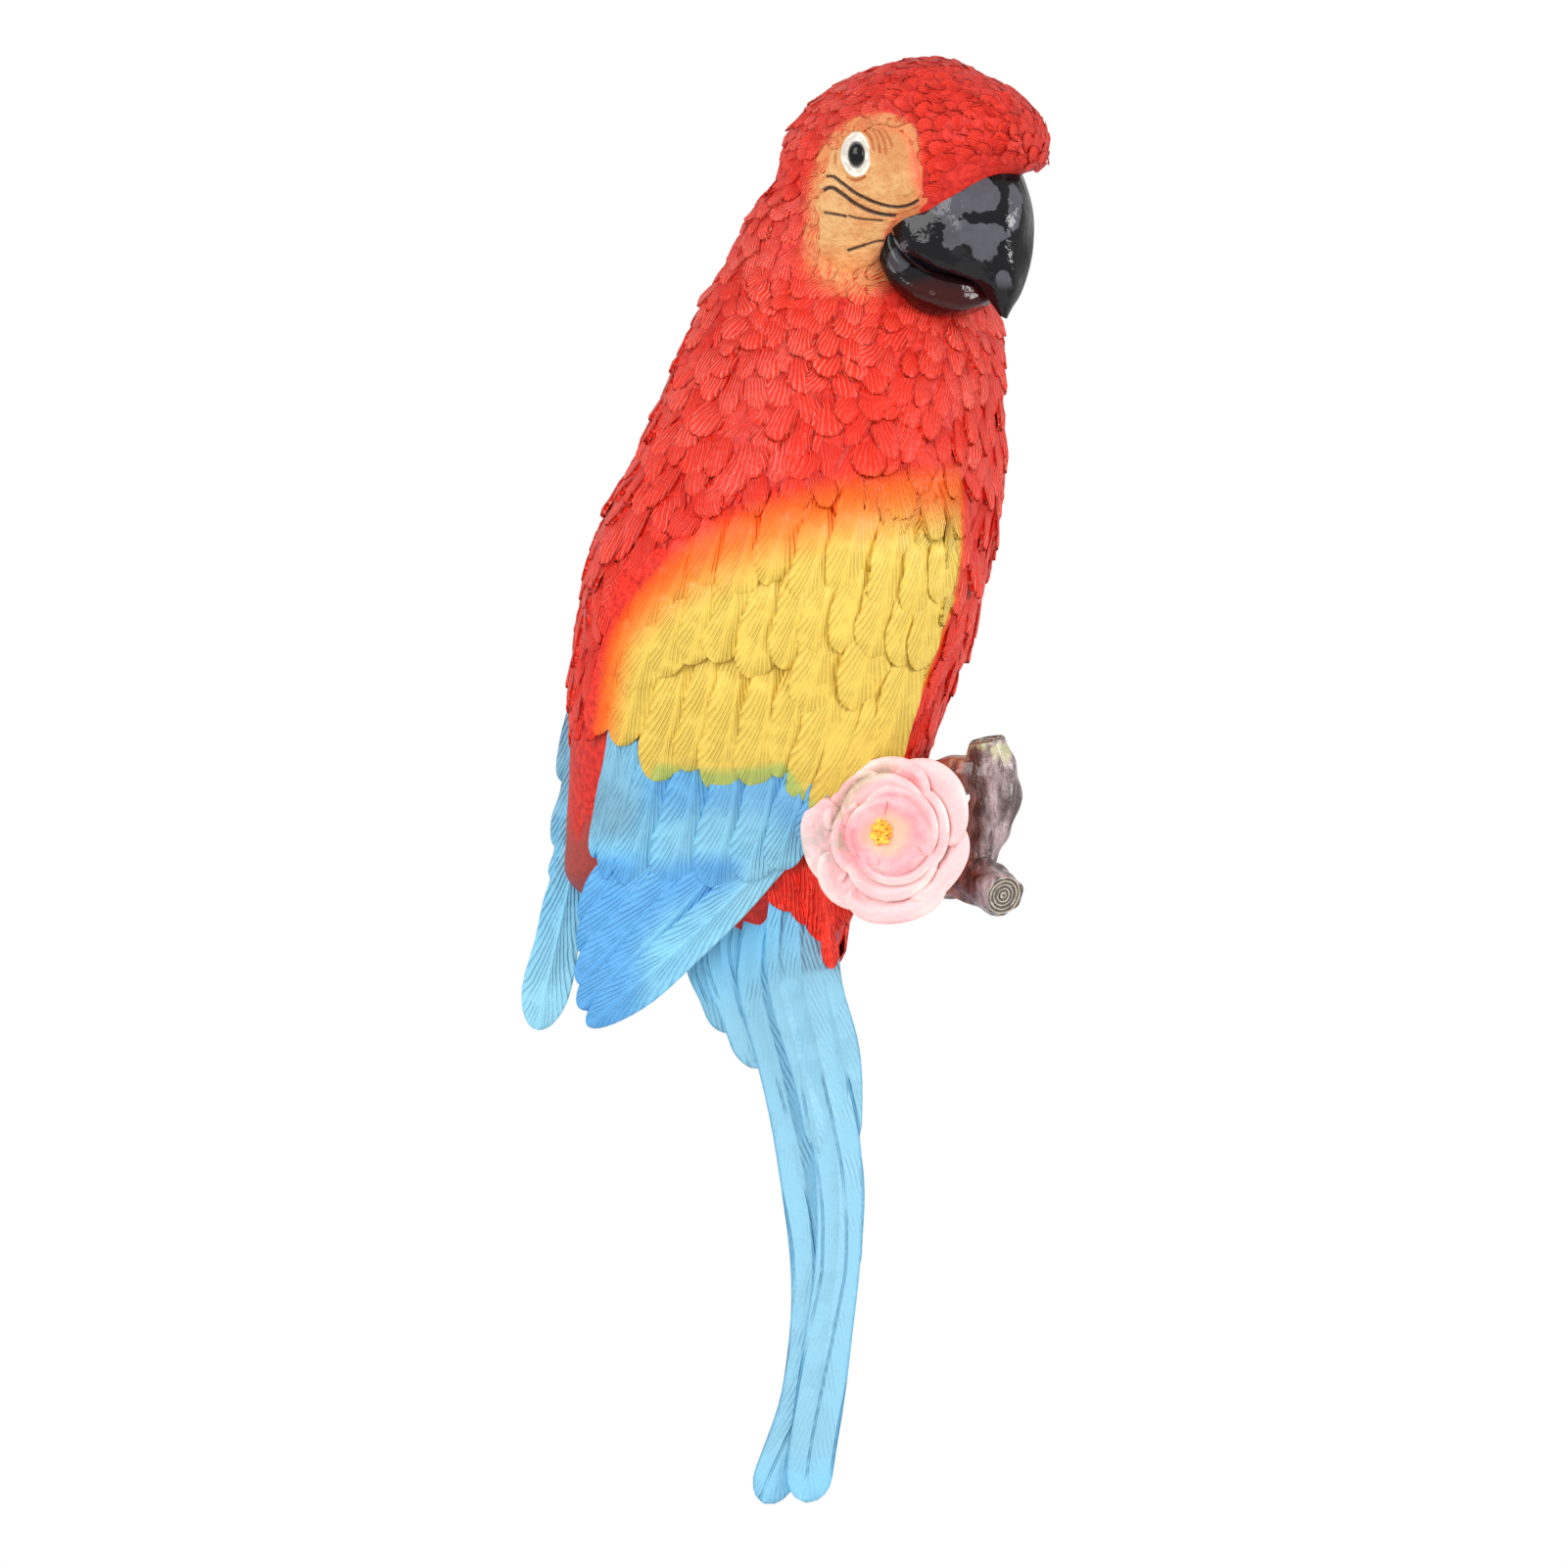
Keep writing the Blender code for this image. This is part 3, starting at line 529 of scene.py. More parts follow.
# What the beak covers, seen from the front
BEAK_SHADOW = (
    (23.6, 79.0), (20.8, 75.0), (21.3, 70.0), (23.5, 65.0), (27.5, 60.4), (31.4, 58.2), (37.4, 58.6),
    (42.1, 60.6), (45.0, 60.5), (47.0, 56.4), (51.4, 66.0), (54.0, 86.0), (49.0, 90.0), (40.2, 86.4),
    (29.5, 82.6),
)


def inside(outline, x, z):
    """Whether places seen from the front lie inside a closed outline."""
    hit = np.zeros(len(x), bool)
    for (x1, z1), (x2, z2) in zip(outline, np.roll(outline, -1, axis=0)):
        crosses = (z1 > z) != (z2 > z)
        hit ^= crosses & (x < (x2 - x1) * (z - z1) / (z2 - z1 + 1e-9) + x1)
    return hit


def bared(places, outline):
    """Whether places on the front of the head lie within an outline, where no feather grows."""
    ahead = (places[:, 1] < HEAD_Y + 6) & (places[:, 2] > 55)
    return ahead & inside(outline, places[:, 0], places[:, 2])


def flow_at(points):
    """Direction in which feathers point: back from the beak over the head, then down the body."""
    away = points - BEAK_BASE
    distance = np.linalg.norm(away, axis=1, keepdims=True)
    near = fade(76.0, 30.0, distance)
    lean = -0.10 - 0.42 * fade(16.0, -30.0, points[:, 0]) * fade(70.0, 40.0, points[:, 2])
    down = np.stack([lean, 0 * lean, 0 * lean - 1.0], axis=-1)
    return away / distance * near + unit(down) * (1 - near)


rng = np.random.default_rng(SEED)


def scattered_seats(tries):
    """Seats spread over the sculpted form, closer together where feathers are small."""
    corner = form_points[form_triangles]
    area = np.linalg.norm(np.cross(corner[:, 1] - corner[:, 0], corner[:, 2] - corner[:, 0]), axis=1)
    pick = rng.choice(len(area), tries, p=area / area.sum())
    a, b = rng.random((2, tries, 1))
    a, b = np.where(a + b > 1, 1 - a, a), np.where(a + b > 1, 1 - b, b)
    points = corner[pick, 0] * (1 - a - b) + corner[pick, 1] * a + corner[pick, 2] * b
    normals = unit(form_normals[form_triangles[pick]].mean(1))
    spacing = np.interp(points[:, 2], *zip(*SPACING_BY_HEIGHT))
    keep = (points[:, 1] < -SEAT_OFF_WALL) & (points[:, 2] > LOWEST_SEAT)
    flow = flow_at(points)
    tips = points + flow * (spacing * FEATHER_LONG * 0.5)[:, None]
    face, beak = np.array(FACE_OUTLINE), np.array(BEAK_SHADOW)
    shrunk = face.mean(0) + (face - face.mean(0)) * 0.93
    for places in (points, mirrored_in_head(points)):
        keep &= ~bared(places, face)
        keep &= ~bared(places, beak)
    for places in (tips, mirrored_in_head(tips)):
        keep &= ~bared(places, shrunk)
    x, y, z = points.T
    # The coverts are rooted lower at both ends of their row, and small feathers end where they begin
    covert_roots = 5.0 + 10.5 * fade(-20.0, 5.0, x)
    covert_roots = covert_roots - 6.0 * fade(-21.0, -31.0, x) - 4.0 * fade(21.0, 27.0, x)
    keep &= ~((normals[:, 1] < -0.1) & (z < covert_roots) & (x > -35.0) & (right_of_wing(x, z) < -0.5))
    keep &= ~((z < -27.0) & (x < -33.0))
    seats = np.empty((0, 3))
    chosen, reach = [], np.empty(0)
    for i in np.flatnonzero(keep):
        apart = np.linalg.norm(seats - points[i], axis=1)
        if (apart > (reach + spacing[i]) / 2).all():
            chosen.append(i)
            seats = points[chosen]
            reach = spacing[chosen]
    return points[chosen], normals[chosen], spacing[chosen]


def feather_template():
    """One round feather a unit long and wide, its tip raised and frayed and its edge turned down."""
    # Share of the length, width and height there
    stations = (
        (0.0, 0.5, -0.16),
        (0.28, 0.86, -0.03),
        (0.55, 1.0, 0.05),
        (0.78, 0.88, 0.08),
        (0.93, 0.58, 0.06),
        (1.0, 0.24, 0.03),
    )
    # How far from its root the feather is seated
    seat = 0.42
    across = np.array([-1.0, -0.66, -0.33, 0.0, 0.33, 0.66, 1.0])
    fray = np.array([0.0, -0.02, 0.015, -0.015, 0.02, -0.02, 0.0])
    points, run, side = [], [], []
    for t, width, rise in stations:
        for u, notch in zip(across, fray):
            points.append((u * width / 2, t + notch * t - seat, rise + 0.07 * (1 - u * u)))
            run.append(t)
            side.append(u * width)
    rows, columns = len(stations), len(across)
    faces = ring_faces(rows, columns, False)
    last = (rows - 1) * columns
    edge = [r * columns for r in range(rows)] + [last + k for k in range(1, columns)]
    edge += [r * columns + columns - 1 for r in range(rows - 2, -1, -1)]
    start = len(points)
    for k in edge:
        x, y, z = points[k]
        points.append((x * 1.03, -seat + (y + seat) * 1.015, z - 0.15))
        run.append(run[k])
        side.append(side[k])
    for n in range(len(edge) - 1):
        faces.append((edge[n], start + n, start + n + 1, edge[n + 1]))
    return make("contour_feather", np.array(points) / MM, faces, {"run": run, "side": side})


def plumage_tree():
    """Seats become feathers: each stands on its seat, turned along the flow, and is cut unevenly."""
    tree = bpy.data.node_groups.new("plumage", "GeometryNodeTree")
    tree.interface.new_socket("Geometry", in_out="INPUT", socket_type="NodeSocketGeometry")
    tree.interface.new_socket("Feather", in_out="INPUT", socket_type="NodeSocketObject")
    tree.interface.new_socket("Finish", in_out="INPUT", socket_type="NodeSocketMaterial")
    tree.interface.new_socket("Unevenness", in_out="INPUT", socket_type="NodeSocketFloat")
    tree.interface.new_socket("Geometry", in_out="OUTPUT", socket_type="NodeSocketGeometry")

    def node(kind, **settings):
        made = tree.nodes.new(kind)
        for key, value in settings.items():
            setattr(made, key, value)
        return made

    def vector_named(name):
        made = node("GeometryNodeInputNamedAttribute", data_type="FLOAT_VECTOR")
        made.inputs["Name"].default_value = name
        return made.outputs["Attribute"]

    def link(source, target):
        tree.links.new(source, target)

    entry, out = node("NodeGroupInput"), node("NodeGroupOutput")
    shape = node("GeometryNodeObjectInfo")
    link(entry.outputs["Feather"], shape.inputs["Object"])
    upright = node("FunctionNodeAlignRotationToVector", axis="Z")
    link(vector_named("out"), upright.inputs["Vector"])
    turned = node("FunctionNodeAlignRotationToVector", axis="Y", pivot_axis="Z")
    link(upright.outputs["Rotation"], turned.inputs["Rotation"])
    link(vector_named("flow"), turned.inputs["Vector"])
    stand = node("GeometryNodeInstanceOnPoints")
    link(entry.outputs["Geometry"], stand.inputs["Points"])
    link(shape.outputs["Geometry"], stand.inputs["Instance"])
    link(turned.outputs["Rotation"], stand.inputs["Rotation"])
    link(vector_named("size"), stand.inputs["Scale"])
    real = node("GeometryNodeRealizeInstances")
    link(stand.outputs["Instances"], real.inputs["Geometry"])
    uneven = node("ShaderNodeTexNoise")
    uneven.inputs["Scale"].default_value = 330.0
    middle = node("ShaderNodeVectorMath", operation="SUBTRACT")
    link(uneven.outputs["Color"], middle.inputs[0])
    middle.inputs[1].default_value = (0.5, 0.5, 0.5)
    swing = node("ShaderNodeVectorMath", operation="SCALE")
    link(middle.outputs["Vector"], swing.inputs[0])
    link(entry.outputs["Unevenness"], swing.inputs["Scale"])
    hand_cut = node("GeometryNodeSetPosition")
    link(real.outputs["Geometry"], hand_cut.inputs["Geometry"])
    link(swing.outputs["Vector"], hand_cut.inputs["Offset"])
    dressed = node("GeometryNodeSetMaterial")
    link(hand_cut.outputs["Geometry"], dressed.inputs["Geometry"])
    link(entry.outputs["Finish"], dressed.inputs["Material"])
    link(dressed.outputs["Geometry"], out.inputs["Geometry"])
    return tree


def feathered(name, tree, seats, normals, flow, size, shade, template, finish):
    """Runs the plumage tree over some seats and keeps the result as a plain mesh."""
    obj = make(name, seats, [], {"shade": shade})
    for key, vectors in (("out", normals), ("flow", flow), ("size", size * MM)):
        stored = obj.data.attributes.new(key, "FLOAT_VECTOR", "POINT")
        stored.data.foreach_set("vector", np.asarray(vectors, np.float32).ravel())
    modifier = obj.modifiers.new("plumage", "NODES")
    modifier.node_group = tree
    sockets = {s.name: s.identifier for s in tree.interface.items_tree if s.in_out == "INPUT"}
    modifier[sockets["Feather"]] = template
    modifier[sockets["Finish"]] = finish.material
    modifier[sockets["Unevenness"]] = FEATHER_UNEVEN * MM
    settle(obj)
    points = points_of(obj)
    points[:, 1] = np.minimum(points[:, 1], -CLEAR_OF_WALL)
    obj.data.vertices.foreach_set("co", (points * MM).ravel())
    for key in ("out", "flow", "size"):
        if key in obj.data.attributes:
            obj.data.attributes.remove(obj.data.attributes[key])
    obj.data.shade_smooth()
    return obj


# The airbrushed edge of the yellow wing patch, seen from the front
WING_PATCH_EDGE = (
    (-46.0, -60.0), (-38.5, -30.0), (-34.0, -9.0), (-21.0, 5.0),
    (-4.0, 13.5), (14.0, 18.5), (36.0, 21.0), (50.0, 22.0),
)


def airbrushed(points):
    """How far a place has passed from the scarlet into the yellow."""
    fine = along(WING_PATCH_EDGE, 160)
    x, z = points[:, 0], points[:, 2]
    apart = apart_from(fine, x, z)
    signed = np.where(z < np.interp(x, fine[:, 0], fine[:, 1]), apart, -apart)
    softness = 12.0 + 14.0 * fade(-36.0, -12.0, x)
    return np.clip(0.5 + signed / softness, 0, 1)


def patch_share(points):
    """The airbrushed patch on the body: it ends at the wing's right edge."""
    on_wing = fade(2.5, 0.0, right_of_wing(points[:, 0], points[:, 2]))
    return airbrushed(points) * on_wing * (points[:, 1] < -14)


def feather_patch_share(points):
    """The airbrush on the small feathers above the wing; it doesn't reach those below its left edge."""
    return patch_share(points) * fade(-32.0, -22.0, points[:, 2])


def tan_share(points):
    """Tan overspray on the feathers that border the face."""
    rim = along(FACE_OUTLINE + FACE_OUTLINE[:1], 90)
    near = []
    for places in (points, mirrored_in_head(points)):
        x, z = places[:, 0], places[:, 2]
        reach = 3.2 + 3.6 * fade(78.0, 66.0, z) * fade(26.0, 20.0, x)
        sprayed = fade(1.0, 0.1, apart_from(rim, x, z) / reach)
        near.append(sprayed * (places[:, 1] < HEAD_Y + 8) * fade(30.0, 26.0, x))
    return np.maximum(*near)


def face_share(points):
    """Tan on the sculpted form: its overspray, and all that lies within the faces."""
    within = np.zeros(len(points), bool)
    for places in (points, mirrored_in_head(points)):
        within |= inside(FACE_OUTLINE, places[:, 0], places[:, 2]) & (places[:, 1] < HEAD_Y + 8)
    return np.maximum(tan_share(points), within)


def store(obj, **fields):
    """Stores numbers worked out from each point's place."""
    points = points_of(obj)
    for key, work in fields.items():
        stored = obj.data.attributes.new(key, "FLOAT", "POINT")
        stored.data.foreach_set("value", work(points).astype(np.float32))


store(
    form,
    gold=lambda p: patch_share(p) * fade(-44.0, -38.0, p[:, 2]) * fade(-34.0, -30.0, p[:, 0]),
    tan=face_share,
)
place_piece(form, backing)

TAN_SPRAY = pot(244, 166, 104)


def plumage_finish():
    finish = Finish("scarlet_plumage_paint", Specular_IOR_Level=0.3)
    run, side, shade, gold = (finish.stored(k) for k in ("run", "side", "shade", "gold"))
    cloud = finish.noise(60.0, 4.0)
    speck = finish.noise(900.0, 4.0)
    waver = finish.noise(330.0, 2.0)
    comb = finish.wave(side * 20.0 / (0.5 + run * 0.6) + waver * 6.0)
    crest = finish.ramp(comb, -0.5, 0.9)
    # Painted shade: deep scarlet at the feathers' roots and in the grooves between the barbs
    body = finish.mix(finish.ramp(run * 0.6 + speck * 0.5 + crest * 0.35, 0.15, 0.95), DEEP_SCARLET, SCARLET)
    # Painted highlight, partly dry brush: rose on the crests of the barbs and the feathers' tips
    high = finish.ramp(run * 0.4 + shade * 0.35 + cloud * 0.8 + speck * 0.6 + crest * 0.55, 1.25, 1.95)
    rosy = finish.mix(high * finish.stored("brushed"), body, ROSE)
    grainy = finish.ramp(speck + crest * 0.4, 0.25, 0.75)
    tanned = finish.mix(finish.stored("tan") * grainy, rosy, TAN_SPRAY)
    sprayed = finish.mix(finish.ramp(gold, 0.26, 0.50), tanned, ORANGE)
    # Painted shade: mustard at the roots of the yellow-sprayed feathers
    golden = finish.mix(finish.ramp(run + speck * 0.4, 0.15, 0.7), MUSTARD, YELLOW)
    finish.feed("Base Color", finish.mix(finish.ramp(gold, 0.46, 1.0), sprayed, golden))
    finish.emboss(crest * finish.ramp(waver + speck * 0.5, 0.35, 0.8) * 0.9 + speck * 0.6, 0.6)
    finish.feed("Roughness", 0.50 - speck * 0.30)
    return finish


def brushed_share(points):
    """How much rose the dry brush and painted highlight leave: most on nape, cheek and the right of the
    breast.
    """
    x, z = points[:, 0], points[:, 2]
    behind = 0.3 + 0.75 * fade(0.0, 70.0, z - 0.8 * x)
    brow = fade(14.0, 28.0, x) * fade(76.0, 84.0, z)
    breast = fade(30.0, 42.0, x) * fade(70.0, 56.0, z) * fade(-30.0, 0.0, z)
    return np.clip(behind * (1 - 0.8 * brow) + 0.85 * breast, 0, 1)


seat_points, seat_normals, seat_spacing = scattered_seats(SEAT_TRIES)
# Feathers lie along the flow, each a little turned, stretched and tilted
seat_flow = flow_at(seat_points)
seat_flow = unit(seat_flow - (seat_flow * seat_normals).sum(1, keepdims=True) * seat_normals)
sideways = np.cross(seat_normals, seat_flow)
twist = rng.normal(0, 0.30, (len(seat_points), 1))
seat_flow = seat_flow * np.cos(twist) + sideways * np.sin(twist)
stretch = rng.uniform(0.8, 1.3, (2, len(seat_points)))
tilted = unit(seat_normals + rng.normal(0, 0.07, seat_normals.shape))
# They are slimmer down both flanks, smaller and flatter on the forehead, flatter above the wing
beside = fade(26.0, 38.0, seat_points[:, 0]) + fade(-18.0, -34.0, seat_points[:, 0])
slim = beside * fade(62.0, 34.0, seat_points[:, 2])
seat_height = seat_points[:, 2]
forehead = fade(12.0, 28.0, seat_points[:, 0]) * fade(78.0, 84.0, seat_height)
above_wing = fade(0.2, 0.5, patch_share(seat_points)) * fade(34.0, 26.0, seat_height)
seat_proud = seat_spacing * FEATHER_PROUD * (1 - 0.35 * fade(78.0, 90.0, seat_height))
seat_size = np.stack(
    [
        seat_spacing * FEATHER_WIDE * stretch[0] * (1 - 0.25 * slim),
        seat_spacing * FEATHER_LONG * stretch[1] * (1 + 0.10 * slim) * (1 - 0.32 * forehead),
        seat_proud * (1 - 0.72 * forehead) * (1 - 0.4 * above_wing),
    ],
    axis=-1,
)
seat_shade = rng.random(len(seat_points))
template = feather_template()
plumage = plumage_tree()
scarlet = plumage_finish()
on_head, below_neck = seat_height > 78.0, seat_height < 44.0
for piece_name, part in (
    ("head_feathers", on_head),
    ("neck_feathers", ~on_head & ~below_neck),
    ("body_feathers", below_neck),
):
    feathers = feathered(
        piece_name, plumage, seat_points[part], tilted[part], seat_flow[part],
        seat_size[part], seat_shade[part], template, scarlet,
    )
    store(
        feathers,
        gold=feather_patch_share,
        tan=tan_share,
        brushed=brushed_share,
    )
    place_piece(feathers)
bpy.data.objects.remove(template)

# Right wing
# Coverts and flight feathers are long blades with a quill ridge and slanting barbs, laid in rows.
# The airbrush runs from scarlet over orange to yellow, turns green at the last tips, then sky blue.
SHINGLE_TILT = 0.6
BLADE_STATIONS = 32
# Points across half a blade, closest together at its quill and its edge
BLADE_HALF = (0.04, 0.09, 0.25, 0.5, 0.75, 0.92, 1.0)
BLADE_ACROSS = np.array([-u for u in reversed(BLADE_HALF)] + [0.0, *BLADE_HALF])
# Feathers of each row from left to right: tip, root, half width
GREATER_COVERTS = (
    ((-40.0, -31.2), (-34.5, -8.0), 3.6),
    ((-34.6, -33.4), (-28.5, -9.0), 4.2),
    ((-27.2, -40.8), (-20.0, -12.0), 5.4),
    ((-20.4, -38.8), (-14.0, -12.0), 4.6),
    ((-14.6, -42.8), (-8.5, -13.0), 5.4),
    ((-7.2, -41.8), (-1.5, -13.0), 5.2),
    ((-1.2, -40.0), (5.0, -12.0), 4.8),
    ((3.4, -46.8), (12.0, -16.0), 5.4),
    ((8.2, -52.6), (18.0, -17.0), 5.4),
    ((13.4, -50.0), (23.0, -16.0), 4.8),
    ((18.6, -42.0), (27.6, -10.0), 4.2),
)
MIDDLE_COVERTS = (
    ((4.0, -27.6), (10.0, -3.0), 5.0),
    ((14.2, -26.0), (20.6, 0.0), 5.2),
)
MEDIAN_COVERTS = (
    ((-37.4, -20.0), (-31.5, 0.0), 3.4),
    ((-32.4, -23.2), (-25.0, -1.0), 4.4),
    ((-26.4, -19.0), (-19.4, 4.0), 4.6),
    ((-20.2, -16.4), (-13.6, 9.0), 4.5),
    ((-14.4, -16.0), (-8.0, 10.0), 4.5),
    ((-7.4, -19.2), (-1.0, 8.0), 4.8),
    ((-0.2, -17.4), (6.0, 10.0), 4.8),
    ((5.6, -15.4), (11.0, 10.0), 4.6),
    ((12.0, -14.0), (17.5, 10.0), 4.6),
    ((17.8, -15.0), (23.4, 8.0), 4.8),
    ((24.0, -16.8), (28.4, 6.0), 4.2),
    ((28.0, -17.6), (31.4, 4.0), 3.2),
)
LESSER_COVERTS = (
    ((-35.4, -8.0), (-28.5, 10.0), 3.6),
    ((-30.4, -9.6), (-23.0, 12.0), 4.2),
    ((-24.6, -3.6), (-17.0, 17.0), 4.4),
    ((-18.0, -0.6), (-11.0, 21.0), 4.6),
    ((-11.4, -3.0), (-5.0, 22.0), 4.8),
    ((-3.8, 0.2), (2.4, 25.0), 4.8),
    ((4.0, -4.2), (10.0, 22.0), 4.8),
    ((11.6, -2.4), (17.0, 25.0), 4.8),
    ((20.6, -5.8), (24.4, 20.0), 4.4),
    ((27.0, -7.0), (29.8, 15.0), 3.8),
    ((32.6, -3.4), (33.2, 14.0), 3.0),
)
SECONDARIES = (
    ((-39.8, -57.0), (-34.8, -29.0), 2.6),
    ((-37.4, -61.4), (-31.0, -32.0), 3.6),
    ((-33.8, -62.6), (-25.5, -33.0), 4.8),
    ((-25.0, -63.0), (-17.5, -34.0), 5.6),
    ((-15.4, -63.2), (-9.0, -34.0), 5.8),
    ((-8.0, -62.0), (-1.5, -34.0), 5.4),
    ((-1.6, -59.4), (5.0, -35.0), 4.8),
    ((4.4, -54.6), (11.5, -36.0), 4.4),
)
PRIMARIES = (
    ((-42.2, -71.0), (-27.0, -44.0), 4.4),
    ((-42.8, -77.0), (-19.0, -47.0), 5.0),
    ((-43.4, -83.4), (-13.0, -50.0), 5.2),
    ((-43.2, -88.6), (-7.0, -52.0), 5.2),
    ((-41.4, -92.4), (-0.5, -55.6), 4.8),
)
# How far each row stands proud, its feathers' thickness, how deep their roots are let in
ROW_FORMS = {
    "greater_coverts": (GREATER_COVERTS, 1.3, 2.8, 2.4),
    "middle_coverts": (MIDDLE_COVERTS, 1.7, 2.8, 2.6),
    "median_coverts": (MEDIAN_COVERTS, 2.1, 2.8, 2.8),
    "lesser_coverts": (LESSER_COVERTS, 2.6, 3.0, 4.0),
    "secondaries": (SECONDARIES, 1.0, 2.8, 2.2),
    "primaries": (PRIMARIES, 0.0, 2.4, 1.0),
}


def blade_arrays(path, half_width, depth_at, thickness, let_in, taper=0.30, ragged=0.05, neck=0.72):
    """Points, faces and stored values of one long feather, closed all round."""
    t = 1 - np.linspace(1, 0, BLADE_STATIONS) ** 1.5
    fine = along(path, 81)
    steps = np.linspace(0, 1, 81)
    centre = np.stack([np.interp(t, steps, fine[:, k]) for k in (0, 1)], axis=-1)
    run = unit(np.gradient(centre, axis=0))
    length = np.linalg.norm(np.diff(fine, axis=0), axis=1).sum()
    round_tip = np.sqrt(np.clip(1 - (np.clip(t - (1 - taper), 0, 1) / taper) ** 2.2, 0.004, 1))
    width = half_width * (neck + (1 - neck) * fade(0.0, 0.5, t)) * round_tip
    u, t = BLADE_ACROSS[None, :], t[:, None]
    phase = rng.uniform(0, 6, 3)
    edge = 1 + ragged * np.sin(t * rng.uniform(12, 20) + 3 * np.sign(u) + phase[0]) * np.abs(u) ** 3
    reach = width[:, None] * u * edge
    x = centre[:, 0, None] + run[:, 1, None] * reach
    z = centre[:, 1, None] - run[:, 0, None] * reach
    y = depth_at(x, z, t) - SHINGLE_TILT * u + (0.3 + 0.4 * fade(0.5, 1.0, t)) * u**2
    y = y + 0.22 * np.sin(5 * t + 1.8 * u + phase[1]) + 0.14 * np.sin(11 * t - 2.6 * u + phase[2])
    y -= 0.45 * np.exp(-((reach / 0.5) ** 2)) * fade(1.0, 0.7, t)
    y += let_in * fade(0.45, 0.0, t) + 0.6 * fade(0.86, 1.0, t)
    top = np.stack([x, y, z], axis=-1)
    bottom = top[:, ::-1].copy()
    bottom[..., 1] += thickness
    ring = np.concatenate([top, bottom], axis=1)
    sides = ring.shape[1]
    values = {
        "run": np.repeat(t.ravel(), sides),
        "side": np.tile(np.concatenate([BLADE_ACROSS, BLADE_ACROSS[::-1]]), len(t)),
        "far": np.repeat(t.ravel() * length, sides),
        "wide": np.concatenate([reach, reach[:, ::-1]], axis=1).ravel(),
        "shade": np.full(len(t) * sides, rng.random()),
    }
    faces = ring_faces(len(t), sides, True)
    faces.append(tuple(range(sides - 1, -1, -1)))
    faces.append(tuple(range((len(t) - 1) * sides, len(t) * sides)))
    return ring.reshape(-1, 3), faces, values


def joined(name, blades):
    """One object from several feathers."""
    points, faces, values, start = [], [], {}, 0
    for ring, loops, stored in blades:
        points.append(ring)
        faces += [tuple(start + k for k in loop) for loop in loops]
        for key, numbers in stored.items():
            values.setdefault(key, []).append(numbers)
        start += len(ring)
    obj = make(name, np.concatenate(points), faces, {k: np.concatenate(v) for k, v in values.items()})
    return outward(obj)


def wing_row(name):
    """A row of wing feathers, each bowed a little to the right."""
    feathers, lift, thickness, let_in = ROW_FORMS[name]
    blades = []
    for tip, root, half_width in feathers:
        middle = ((tip[0] + root[0]) / 2 + 0.6, (tip[1] + root[1]) / 2 - 0.6)
        offset = lift + rng.uniform(-0.2, 0.2)
        path = (root, middle, tip)
        blades.append(
            blade_arrays(path, half_width, lambda x, z, t: wing_sheet(x, z) - offset, thickness, let_in)
        )
    return joined(name, blades)


def blade_finish(name, ground, groove, depth=0.25):
    """Barbs slant from the quill to the edge; the groove colour between them and at the feather's edges is
    painted shade.
    """
    finish = Finish(name, Specular_IOR_Level=0.35)
    far, wide, side, shade = (finish.stored(k) for k in ("far", "wide", "side", "shade"))
    wander = finish.noise(160.0, 2.0)
    patchy = finish.noise(260.0, 2.0)
    phase = (far - abs(wide) * (5.8 - abs(wide) * 0.42)) * 1.75 + wander * 6.0 + shade * 9.0
    crest = finish.ramp(finish.wave(phase), -0.9, 0.6)
    cut = finish.ramp(patchy, 0.30, 0.58)
    quill = finish.ramp(abs(wide), 0.9, 0.3)
    speck = finish.noise(1000.0, 4.0)
    finish.emboss(crest * (cut * 0.7 + 0.3) * (1 - quill * 0.8) + speck * 0.45, depth)
    finish.feed("Roughness", 0.50 - speck * 0.18)
    # Painted shade: the groove colour between the barbs and towards the feather's edges
    inner = 1 - finish.ramp(abs(side), 0.86, 1.0)
    lit = finish.ramp(crest * 0.6 + speck * 0.5 + (1 - cut) * 0.25 + inner * 0.3, 0.30, 1.0)
    return finish, finish.mix(lit, groove, ground), speck


AMBER = pot(240, 168, 70)
# Across and up: where the last yellow tips end
YELLOW_TIPS = (
    (-33.0, -60.0), (-27.0, -41.0), (-12.0, -42.5), (0.0, -41.0), (4.0, -46.0), (9.0, -52.0), (12.0, -54.0),
    (14.0, -70.0),
)


def covert_finish():
    # Mustard is painted shade between the barbs and towards the edges of the yellow coverts
    finish, golden, speck = blade_finish("yellow_covert_paint", YELLOW, MUSTARD)
    gold = finish.stored("gold")
    reddish = finish.mix(finish.ramp(speck, 0.35, 0.6), DEEP_SCARLET, SCARLET)
    sprayed = finish.mix(finish.ramp(gold, 0.28, 0.50), reddish, ORANGE)
    wash = finish.noise(45.0, 3.0)
    warmth = finish.ramp(wash, 0.50, 0.75) * finish.ramp(gold, 1.0, 0.7)
    warm = finish.mix(warmth * 0.6, golden, AMBER)
    painted = finish.mix(finish.ramp(gold, 0.45, 0.98), sprayed, warm)
    green = finish.ramp(finish.stored("green") + (wash - 0.5) * 0.4, 0.25, 1.0)
    finish.feed("Base Color", finish.mix(green * 0.85, painted, LEAF))
    return finish


def tip_green(points):
    """Green haze where the last yellow tips meet the blue."""
    return fade(6.8, 1.6, points[:, 2] - np.interp(points[:, 0], *zip(*YELLOW_TIPS)))


def no_share(points):
    """Nothing of a tint anywhere."""
    return np.zeros(len(points))


